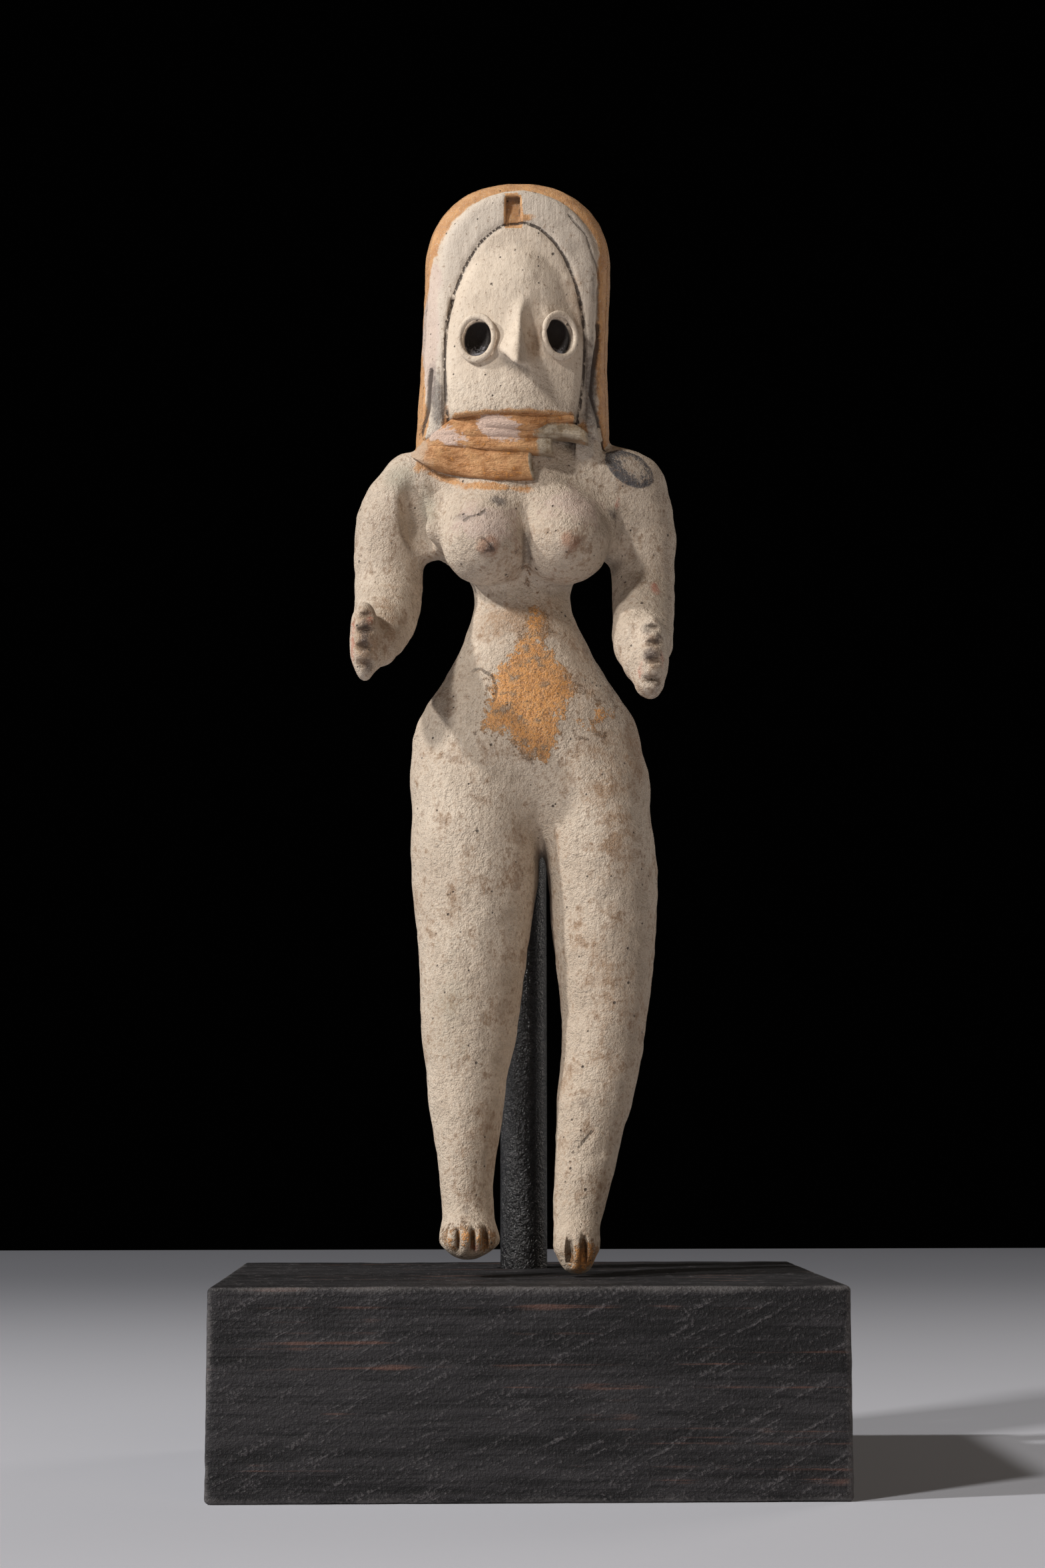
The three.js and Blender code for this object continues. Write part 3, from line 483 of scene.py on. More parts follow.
def face(point):
    """The face: its outline met by a gently curved front that leans back as it rises, and the nose."""
    x, y, z = point
    aside = x - head_x(z) - FACE_ASIDE
    lean = FACE_LEAN * (np.maximum(z - FACE["spring"], 0) / FACE["rise"]) ** 2
    bend = FACE_BEND + BROW_BEND * ramp(aside, 0, 3) * ramp(z, 143, 150)
    front = FACE["front"] + bend * aside**2 + lean - y
    body = smooth_max(smooth_max(face_outline(x, z), front, 1.7), FACE["low"] - z, 0.5)
    nose = wedge(point, NOSE_ROOT, NOSE_TIP, NOSE_LEFT, NOSE_RIGHT)
    nose = np.maximum(smooth_max(nose, z - NOSE_ROOT[2], NOSE_TOP_EDGE), y + 9)
    body = smooth_min(np.maximum(body, y - 2), nose, NOSE_EDGE)
    body = smooth_max(body, -egg(point, *NOSE_HOLLOW), NOSE_HOLLOW_EDGE)
    for eye in EYES:
        wide = EYE_RING - 0.6 * EYE_COIL
        spun = turned(point, eye)
        body = smooth_max(body, -egg(spun, (0, 0, 0), (wide, EYE_PIT_DEPTH, wide * EYE_STRETCH)), 0.3)
    return body


def turned(point, eye):
    """A point as seen from an eye: its middle at nought, and its own x axis along the face there."""
    x, y, z = (place - centre for place, centre in zip(point, eye["middle"]))
    cos, sin = math.cos(eye["turn"]), math.sin(eye["turn"])
    return x * cos + y * sin, y * cos - x * sin, z


def clay(point):
    """The whole figure: body, bust and shoulders run together, the head on it, and the rod's bed cut."""
    x, y, z = point
    upper = smooth_min(shoulders(point), bust(point), 1.6 + 4.5 * ramp(z, 111, 118))
    body = smooth_min(upper, lower_body(point), 3)
    throat = np.maximum(np.abs(x - head_x(z)) - THROAT_HALF_WIDTH, z - FACE["low"])
    throat = np.maximum(throat, y - THROAT_BACK)
    hair = np.maximum(np.minimum(hood(point), band(point)), -np.minimum(throat, channel(point)))
    head = smooth_max(np.minimum(hair, face(point)), -parting(point), 0.3)
    bed = np.hypot(x - rod_middle[0], y - rod_middle[1]) - (rod_radius + MOUNT_GAP)
    bed = np.maximum(bed, z + figure_lift - rod_high[2] - MOUNT_GAP)
    return np.maximum(smooth_min(body, head, 0.6), -bed)


# %% [markdown]
# ## Skin on the field
#
# Blender's metaballs do something like this field, but their lumps are few and simple. Here the field is
# worked out on a grid, and each grid cell that the surface crosses gets one vertex. The cells are finer
# at the head, where the detail is. Then every vertex slides down the field's own slope on to the surface.


# %% Surface nets
def skin(values, axes):
    """Quad skin of the places where the values change sign.

    A crossed cell gets one point, the mean of the crossings on its edges. Each crossed grid edge gets a
    quad through its four cells, turned so that it faces from negative to positive."""
    shape = np.array(values.shape) - 1
    places, rings = [], []
    for axis in range(3):
        order = [axis, (axis + 1) % 3, (axis + 2) % 3]
        back = np.argsort(order)
        spun = values.transpose(order)
        crossed = np.argwhere((spun[:-1] < 0) != (spun[1:] < 0))
        start = spun[:-1][tuple(crossed.T)].astype(float)
        stop = spun[1:][tuple(crossed.T)].astype(float)
        place = np.stack([axes[n][crossed[:, i]] for i, n in enumerate(order)], 1).astype(float)
        place[:, 0] += (axes[axis][crossed[:, 0] + 1] - place[:, 0]) * start / (start - stop)
        around = [
            np.ravel_multi_index((crossed - (0, b, c))[:, back].T, shape)
            for b, c in ((1, 1), (0, 1), (0, 0), (1, 0))
        ]
        ring = np.stack(around, 1)
        ring[start > 0] = ring[start > 0][:, ::-1]
        places.append(place[:, back])
        rings.append(ring)
    quads = np.concatenate(rings)
    used, number = np.unique(quads, return_inverse=True)
    number = number.reshape(quads.shape)
    repeated = np.repeat(np.concatenate(places), 4, 0)
    share = np.bincount(number.ravel(), minlength=len(used))
    points = [np.bincount(number.ravel(), repeated[:, axis]) / share for axis in range(3)]
    return np.stack(points, 1), number


def slope_of(field, points, reach=0.12):
    """Gradient of the field by the difference of its values on either side along each axis."""
    return np.stack([
        (field((points + step).T) - field((points - step).T)) / (2 * reach)
        for step in np.eye(3) * reach
    ], 1)


def settle(field, points, passes=3, most=0.3):
    """Slides each point along the slope to where the field is nought, at most so far in one pass."""
    for _ in range(passes):
        slope = slope_of(field, points)
        steep = np.maximum((slope**2).sum(1), 0.1)
        step = np.clip(field(points.T) / steep, -most, most)
        points = points - slope * step[:, None]
    return points


coarse = 1
SIDE_STEP = 0.47 * coarse
LEVELS = [(-1.7, 84, 0.8), (84, 127, 0.56), (127, 174, 0.42)]
grid = (
    np.arange(-29.4, 27, SIDE_STEP),
    np.arange(-19.6, 16.6, SIDE_STEP),
    np.concatenate([np.arange(low, high, step * coarse) for low, high, step in LEVELS]),
)
open_grid = [axis.astype(np.float32) for axis in grid]
open_grid = [open_grid[0][:, None, None], open_grid[1][None, :, None], open_grid[2][None, None, :]]
values = np.broadcast_to(clay(open_grid), [len(axis) for axis in grid])
clay_points, clay_quads = skin(values, grid)
clay_points = settle(clay, clay_points)
clay_normals = slope_of(clay, clay_points, 0.2)
clay_normals /= np.linalg.norm(clay_normals, axis=1, keepdims=True)
print(f"clay skin: {len(clay_points)} points, lowest {clay_points[:, 2].min():.2f} mm")

# %% [markdown]
# ## Hand work and age, as relief
#
# Nothing pressed by hand is even, so the skin is pushed in and out a little: broad swells from the palms,
# small ones from the fingertips, cracks where the clay dried, and lines drawn with a point. The random
# lumps come from seeded numbers on a lattice, so that the figure is the same each time.


# %% Lumps and drawn lines
def lumps(points, size, seed):
    """Smooth random values from -1 to 1: seeded numbers on a lattice, eased from corner to corner."""
    lattice = np.random.default_rng(seed).uniform(-1, 1, (64, 64, 64))
    whole = np.floor(points / size).astype(int)
    part = points / size - whole
    part = part * part * (3 - 2 * part)
    total = 0
    for corner in itertools.product((0, 1), repeat=3):
        weight = np.prod(np.where(corner, part, 1 - part), 1)
        total = total + weight * lattice[tuple(((whole + corner) % 64).T)]
    return total


def from_line(x, z, path):
    """Distance in the front view to a line through the path's points."""
    nearest = np.full(x.shape, 1e3)
    for (ax, az), (bx, bz) in itertools.pairwise(path):
        run_x, run_z = bx - ax, bz - az
        t = np.clip(((x - ax) * run_x + (z - az) * run_z) / (run_x**2 + run_z**2), 0, 1)
        nearest = np.minimum(nearest, np.hypot(x - ax - run_x * t, z - az - run_z * t))
    return nearest


def blot(x, z, middle, radii, turn=0.0):
    """Oval patch in the front view: the distance to its edge, above nought inside."""
    cos, sin = math.cos(turn), math.sin(turn)
    dx, dz = x - middle[0], z - middle[1]
    across, up = (dx * cos + dz * sin) / radii[0], (dz * cos - dx * sin) / radii[1]
    return (1 - np.hypot(across, up)) * min(radii)


def patch(x, z, outline):
    """Patch with a drawn outline: the distance to the outline, above nought inside.

    A point is inside when a line from it to the right crosses the outline an odd number of times."""
    inside = np.zeros(x.shape, bool)
    closed = [*outline, outline[0]]
    for (ax, az), (bx, bz) in itertools.pairwise(closed):
        crosses = (az > z) != (bz > z)
        inside ^= crosses & (x < ax + (bx - ax) * (z - az) / ((bz - az) or 1.0))
    return np.where(inside, 1, -1) * from_line(x, z, closed)


BELLY_OUTLINE = [
    (-1.2, 95.8), (1.2, 97.0), (4.6, 94.5), (7.1, 88.7), (6.5, 84.8), (4.9, 80.0),
    (3.2, 77.4), (0.7, 79.6), (-2.6, 81.6), (-6.3, 82.8), (-5.0, 87.0), (-3.8, 92.6),
]
CRACKS = [
    [(-8.2, 91.8), (-7.4, 92.2), (-6.6, 92.2), (-5.0, 90.9), (-4.3, 88.7), (-4.5, 86.7)],
    [(-9.2, 113.9), (-8.2, 114.5), (-7.0, 114.4), (-5.8, 115.6)],
    [(-6.6, 110.9), (-5.2, 109.9), (-4.8, 108.8), (-6.2, 108.6)],
    [(7.0, 164.0), (9.9, 160.7), (11.5, 155.9), (12.0, 150.4), (11.9, 145.0)],
    [(7.2, 18.0), (10.6, 21.6)],
]
DRAWN_LINES = [
    [(-14.6, 139.5), (-14.9, 136.5), (-15.2, 132.7), (-16.2, 129.0)],
    [(11.9, 147.0), (11.9, 145.0), (11.1, 139.6), (10.6, 135.3), (11.9, 131.1), (12.9, 127.3)],
]
NEAR_BED = 4.4
x, y, z = clay_points.T
faces_front = ramp(-clay_normals[:, 1], 0.1, 0.4)
wander = 0.35 * lumps(clay_points, 2.2, 5)
crack = np.min([from_line(x + wander, z + wander, path) for path in CRACKS], 0)
drawn = np.min([from_line(x, z, path) for path in DRAWN_LINES], 0)
crack = np.where(faces_front > 0.3, crack, 9)
drawn = np.where((faces_front > 0.3) & (y < -4), drawn, 9)
# The seam round the face is also painted as a dark line: painted shade of a channel too narrow for the
# mesh.
seam = np.where((z > FACE["low"] - 0.5) & (y < -6), np.abs(face_outline(x, z) - 0.3), 9)
fine_work = ramp(z, 126, 133) * 0.5
swell = 0.26 * lumps(clay_points, 13, 1) + 0.16 * lumps(clay_points, 5, 2)
swell += 0.10 * lumps(clay_points, 2.2, 3)
relief = swell * (1 - fine_work) + 0.07 * lumps(clay_points, 1.2, 4)
relief -= 0.2 * np.exp(-((crack / 0.35) ** 2)) + 0.5 * np.exp(-((drawn / 0.45) ** 2))
relief -= 0.35 * np.exp(-((seam / 0.4) ** 2)) * ramp(z, 148, 154)
relief += 0.6 * np.exp(-(((x - 12.1) / 0.7) ** 2 + ((z - 17.2) / 0.7) ** 2)) * (faces_front > 0)
# Openness: how far the clay lies outside each point, low in creases and hollows. The finish darkens these
# with a soil colour that is also painted shade.
openness, wide_openness = (clay((clay_points + clay_normals * far).T) / far for far in (1.6, 4))
hollow_soil_and_shade = 1 - np.clip(0.6 * openness + 0.4 * wide_openness, 0, 1)
near_bed = np.hypot(x - rod_middle[0], y - rod_middle[1]) < NEAR_BED
relief = np.where(near_bed, 0, relief)
clay_points = clay_points + clay_normals * relief[:, None]
clay_points[:, 2] = np.clip(clay_points[:, 2], 0.0, figure_top)
print(f"relief from {relief.min():.2f} to {relief.max():.2f} mm, {np.mean(hollow_soil_and_shade > 0.4):.0%} in hollows")

# %% [markdown]
# ## Where the paint went
#
# Slip, ochre, pink and soot were laid on by hand, and the ground wore them away unevenly. Each colour is
# a number on every vertex: the distance in millimetres to the edge of its patch, above nought inside.
# The material adds noise to that number before it cuts it off, so that a patch gets a ragged edge that
# is much finer than the mesh.

# %% Paint fields on the clay
NO_PAINT = -9


def blots(*rows):
    """The greatest of many blots. A row: middle x and z, half width, half height, turn, factor, addend."""
    best = NO_PAINT
    for middle_x, middle_z, wide, high, turn, factor, addend in rows:
        value = blot(x, z, (middle_x, middle_z), (wide, high), turn) * factor + addend
        best = np.maximum(best, value)
    return best


def where(place, paint):
    """The paint in one place only."""
    return np.where(place, paint, NO_PAINT)


rim = band_outline(x, z)
here = (x, y, z)
aside = np.abs(x - head_x(z))
skin_near = np.minimum(smooth_min(shoulders(here), bust(here), 2), lower_body(here))
on_hair = np.minimum(hood(here), band(here)) < np.minimum(skin_near, face(here)) - 0.05
pink_side = blots((-14.9, 145, 2.0, 12.5, 0, 1, 0), (-13.6, 154.5, 1.3, 4.0, 0.2, 1, 0))
hem_ochre = blots((-16.6, 130, 2.0, 9.0, 0, 1, 0))
rim_paint = rim - 0.1 - 1.5 * ramp(-x, 0, 4) * ramp(-z, -157, -152) * ramp(z, 132, 139)
rim_paint = np.where(y > -4.5, np.maximum(rim_paint, 1.5), rim_paint)
rim_paint = np.maximum(rim_paint, hem_ochre) - 1.5 * np.maximum(pink_side, 0) * (y < 0)
rim_paint = where(on_hair & ~((rim < -0.6) & (y < -4.5)), rim_paint)
parting_paint = where(parting(here) < 0.35, 1.0)
parting_paint = np.maximum(parting_paint, where(y < -6, blots((0.2, 163.4, 1.4, 0.6, 0, 1, 0))))
chin_paint = where((aside < 9.6) & (y < -8), 0.62 - np.abs(z - FACE["low"] - 0.1))
lock_paint = where(y < -4, blots((-12.2, 131.0, 0.8, 2.6, 0, 1, 0), (9.1, 129.6, 1.0, 1.8, 0, 1, 0)))
neck_paint = where((aside < 9.5) & (z > 129) & (z < 131) & (y < 0), 0.8)
scarf_paint = blots(
    (-14.4, 125.4, 3.4, 1.3, 0.5, 1, 0),
    (-4.4, 119.8, 6.3, 0.8, -0.1, 1, 0),
    (-11.8, 121.9, 3.4, 0.7, -0.45, 1, 0),
)
scarf_paint = where(y < 3, np.maximum(scarf_paint, neck_paint))
ochre = np.maximum.reduce([rim_paint, parting_paint, chin_paint, lock_paint, scarf_paint])
weak_ochre = blots(
    (1.8, 98.8, 0.8, 3.4, 0.1, 1, -0.2),
    (12.3, 84.7, 1.8, 1.3, 0, 1, -0.3),
    (9.2, 83.0, 1.6, 1.0, 0, 1, -0.4),
    (-8.2, 5.2, 3.4, 1.8, 0, 1, -0.6),
    (8.6, 2.2, 1.8, 2.0, 0, 1, -0.2),
)
weak_ochre = where(faces_front > 0.2, np.maximum(weak_ochre, patch(x, z, BELLY_OUTLINE)))
nipples = blots(*((m[0], m[2], r[0] + 0.8, r[2] + 0.5, 0, 1, 0) for m, r in NIPPLES))
nipples = where(y < -11.5, nipples)
soot = where(y <= 2, blots(
    (-13.6, 134.5, 1.5, 6.2, 0.1, 1, 0),
    (10.5, 136.0, 1.5, 9.0, 0, 1, 0),
    (11.0, 153.0, 0.8, 7.0, 0.1, 1, -0.4),
    (-24.2, 95.4, 1.4, 4.4, 0, 1, -0.3),
    (-23.6, 90.6, 1.2, 2.0, 0, 1, -0.3),
    (18.4, 96.6, 1.0, 1.6, 0, 1, -0.1),
    (20.0, 94.9, 0.9, 1.3, 0, 1, -0.2),
    (18.8, 92.6, 1.6, 1.4, 0, 1, -0.1),
    (19.8, 88.6, 0.9, 2.6, 0, 1, -0.3),
    (-3.9, 117.0, 1.7, 1.2, -0.3, 1, 0),
    (-9.4, 114.4, 1.9, 0.8, -0.3, 1, -0.1),
    (-6.4, 115.0, 1.3, 0.7, -0.5, 1, -0.1),
    (-5.4, 109.2, 0.7, 0.7, 0, 1, 0.2),
    (13.9, 116.4, 1.2, 1.6, 0.3, 1, -0.2),
    (-8.6, 9.5, 2.6, 3.0, 0, 0.5, -0.9),
    (9.0, 25.5, 3.4, 2.6, 0, 0.5, -0.8),
))
spot = where(y < 4, blots((16.5, 124.1, 4.3, 2.7, -0.62, 1, 0)))
spot_worn = blots((17.4, 124.2, 2.4, 1.3, -0.6, 1, 0))
red = where(y < 2, blots(
    (14.6, 117.8, 0.5, 1.5, -0.2, 1, 0),
    (20.4, 104.5, 1.3, 2.2, 0, 1, -0.5),
    (-26.2, 94.5, 0.5, 5.0, 0, 1, -0.1),
    (-23.6, 97.6, 1.0, 1.6, 0, 1, -0.4),
    (17.4, 90.4, 0.8, 2.4, 0, 1, -0.3),
    (20.6, 91.6, 0.6, 3.0, 0, 1, -0.3),
    (-7.6, 4.2, 1.2, 0.8, 0, 1, 0),
))
# A grey-green tint: painted sheen on the left shoulder, painted shade in the groove of the left armpit, and
# a faint tint on the left leg.
green_sheen_and_shade = blots(
    (-19.5, 122.5, 3.4, 3.6, 0, 0.4, 0),
    (-15.0, 117.5, 2.0, 5.5, 0, 0.5, 0),
    (-11, 40, 5, 14, 0, 0.12, 0),
)
brown_mottle_and_shade = blots(
    (14.0, 70, 7.0, 20, 0, 0.16, 0),
    (17, 80, 5, 9, 0, 0.25, 0),
    (-8, 26, 8, 26, 0, 0.03, 0),
    (-9, 60, 8, 14, 0, 0.03, 0),
    (-20.5, 100, 3, 8, 0, 0.5, 0),
    (-24.2, 94.3, 2.4, 6.2, 0, 1.2, 0),
    (19.2, 92.8, 2.0, 5.6, 0, 0.8, 0),
    (7.5, 96, 5, 16, 0, 0.10, 0),
    (-1, 100, 9, 5, 0, 0.45, 0),
    (2, 87, 9, 11, 0, 0.15, 0),
    (0, 110, 14, 5, 0, 0.05, 0),
)
# Painted shade: brown laid on the nose's right flank and on the right temple, which are turned away from
# the light.
face_painted_shade = where(z > 130, blots((2.0, 143.6, 1.9, 5.8, 0, 0.8, 0), (8.2, 150.0, 2.2, 8.0, 0, 0.45, 0)))
leg_mottle = where(z <= 80, ramp(-z, -80, -60) * (0.15 + 0.2 * ramp(x, 0, 6)))
brown_mottle_and_shade = np.maximum.reduce([brown_mottle_and_shade, face_painted_shade, leg_mottle])
pink = blots(
    (-12.2, 128.2, 3.2, 1.4, -0.3, 1, 0),
    (7.6, 116.5, 6.5, 4.0, 0, 0.25, 0),
    (-6.0, 113.5, 6.5, 4.5, 0, 0.25, 0),
)
pink = np.maximum(pink, where(z > 124, pink_side))
on_band = np.where((z > 125) & (y < -6.5) & (face_outline(x, z) > 0.2), ramp(-rim, -0.4, 0.6), 0)
grit = np.where((z > 130) & (z < 139) & (y < -9), ramp(-z, -139, -135), 0)
pit_radius = EYE_RING - 0.33
pit_radii = (pit_radius, pit_radius * EYE_STRETCH)
# Painted shade in the eye pits: near black, with grey grit that grows towards the lower floor as painted
# light.
pit_shade = np.max([blot(*turned(here, eye)[::2], (0, 0), pit_radii) for eye in EYES], 0)
pit_shade = where((np.abs(z - 143) < 5) & (y < -8), pit_shade)
pit_floor_light = ramp(-z, -143.0, -140.2)
smooth = ramp(z, 128, 134) * (y < -4)
clay_paint = dict(
    ochre=ochre, weak_ochre=weak_ochre, soot=soot, spot=spot, spot_worn=spot_worn, brown_mottle_and_shade=brown_mottle_and_shade, pink=pink,
    nipple=nipples, hollow_soil_and_shade=hollow_soil_and_shade, crack=crack, drawn=drawn, seam=seam, on_band=on_band, grit=grit, pit_shade=pit_shade,
    pit_floor_light=pit_floor_light, red=red, green_sheen_and_shade=green_sheen_and_shade, smooth=smooth,
)
print("paint fields:", ", ".join(clay_paint))

# %% [markdown]
# ## Shader maths as plain expressions
#
# A material is a graph of nodes, and long graphs are hard to read as code. The class below wraps a
# socket, so that `1 - mask * 0.5` adds the two Math nodes by itself. Colours go through Mix nodes,
# because a Math node would turn them grey.


# %% Wires and finishes
class Wire:
    """One output socket. Arithmetic with numbers or other wires adds Math nodes."""

    def __init__(self, finish, socket):
        self.finish = finish
        self.socket = socket

    def math(self, operation, *values):
        return self.finish.node("ShaderNodeMath", {"operation": operation}, *values)

    def __add__(self, other):
        return self.math("ADD", self, other)

    def __sub__(self, other):
        return self.math("SUBTRACT", self, other)

    def __rsub__(self, other):
        return self.math("SUBTRACT", other, self)

    def __mul__(self, other):
        return self.math("MULTIPLY", self, other)

    __radd__ = __add__
    __rmul__ = __mul__

    def above(self, low, high):
        """0 where this is below low and 1 above high, eased between them. Low may be the greater."""
        settings = {"interpolation_type": "SMOOTHSTEP"}
        return self.finish.node("ShaderNodeMapRange", settings, self, low, high, 0.0, 1.0)

    def most(self, other):
        return self.math("MAXIMUM", self, other)


class Finish:
    """A material and the nodes that it is made of."""

    def __init__(self, name):
        self.material = bpy.data.materials.new(name)
        self.material.use_nodes = True
        self.tree = self.material.node_tree
        self.tree.nodes.clear()
        self.place = self.node("ShaderNodeTexCoord", {}, output="Object")

    def node(self, kind, settings, *values, output=0, at=None, **named):
        """Adds a node: its settings first, then its sockets in order, by number or by name.

        It gives the node's output, or nothing where the node has none."""
        made = self.tree.nodes.new(kind)
        for key, value in settings.items():
            setattr(made, key, value)
        sockets = list(zip(made.inputs, values))
        sockets += [(made.inputs[number], value) for number, value in (at or {}).items()]
        sockets += [(made.inputs[key.replace("_", " ")], value) for key, value in named.items()]
        for socket, value in sockets:
            if isinstance(value, Wire):
                self.tree.links.new(value.socket, socket)
            else:
                socket.default_value = value
        return Wire(self, made.outputs[output]) if made.outputs else None

    def paint(self, name):
        """A number that the mesh carries on its vertices."""
        return self.node("ShaderNodeAttribute", {"attribute_name": name}, output="Fac")

    def stretched(self, x=1.0, y=1.0, z=1.0, turn=(0.0, 0.0, 0.0)):
        """The place in object coordinates, turned and then stretched along each axis."""
        settings = {"vector_type": "TEXTURE"}
        return self.node(
            "ShaderNodeMapping", settings, self.place, (0.0, 0.0, 0.0), turn, (1 / x, 1 / y, 1 / z)
        )

    def noise(self, size, detail=3.0, rough=0.55, place=None):
        """Cloudy noise from 0 to 1 whose patches are about that many millimetres wide."""
        where = place or self.place
        return self.node(
            "ShaderNodeTexNoise", {}, Vector=where, Scale=1 / (size * MM), Detail=detail, Roughness=rough
        )

    def pores(self, size, radius, share):
        """Round pits: 1 at the middle of some cells. Cells are size mm wide, and a share has one."""
        scale = 1 / (size * MM)
        away = self.node("ShaderNodeTexVoronoi", {}, Vector=self.place, Scale=scale)
        chance = self.node("ShaderNodeTexVoronoi", {}, Vector=self.place, Scale=scale, output="Color")
        chance = self.node("ShaderNodeSeparateColor", {}, chance)
        return away.above(radius / size, radius / size * 0.4) * chance.above(1 - share, 1.02 - share)

    def mix(self, share, a, b):
        """Colour a, and colour b where the share is 1. The colour sockets are number 6 and 7."""
        settings = {"data_type": "RGBA", "clamp_factor": True}
        a, b = ((*colour, 1.0) if isinstance(colour, tuple) else colour for colour in (a, b))
        return self.node("ShaderNodeMix", settings, share, at={6: a, 7: b}, output=2)

    def shader(self, colour, roughness, height, **constants):
        """The surface itself. Height is in millimetres, for the bump."""
        bump = self.node("ShaderNodeBump", {}, Strength=1.0, Distance=MM, Height=height)
        surface = self.node(
            "ShaderNodeBsdfPrincipled", {}, Base_Color=colour, Roughness=roughness, Normal=bump, **constants
        )
        self.node("ShaderNodeOutputMaterial", {}, surface)
        return self.material


# %% [markdown]
# ## Fired clay
#
# The clay was covered with a thin pale slip, and both wore. The base is a warm grey beige that wanders
# between light and dark at three scales. Fine sand gives it a matte grain, burnt-out grit leaves small
# dark pores, and the hollows are darkened towards a soil colour, as soil and as painted shade. The paint
# fields from above lie over it, each cut off with its own noise.

# %% The clay's finish
SLIP_LIGHT = (0.76, 0.645, 0.52)
SLIP_MID = (0.55, 0.445, 0.345)
SLIP_DEEP = (0.27, 0.175, 0.11)
OCHRE_LIGHT = (0.64, 0.335, 0.13)
OCHRE_DEEP = (0.44, 0.205, 0.075)
OCHRE_BRIGHT = (0.78, 0.33, 0.07)
OCHRE_WORN = (0.72, 0.44, 0.21)
PINK_WHITE = (0.57, 0.435, 0.38)
BAND_GREY = (0.60, 0.53, 0.455)
SOOT = (0.055, 0.048, 0.052)
SPOT_BLACK = (0.062, 0.063, 0.074)
BROWN_MOTTLE_AND_SHADE = (0.36, 0.22, 0.125)
NIPPLE_BROWN = (0.33, 0.17, 0.105)
SOIL_AND_SHADE = (0.075, 0.052, 0.038)
PORE = (0.045, 0.03, 0.024)


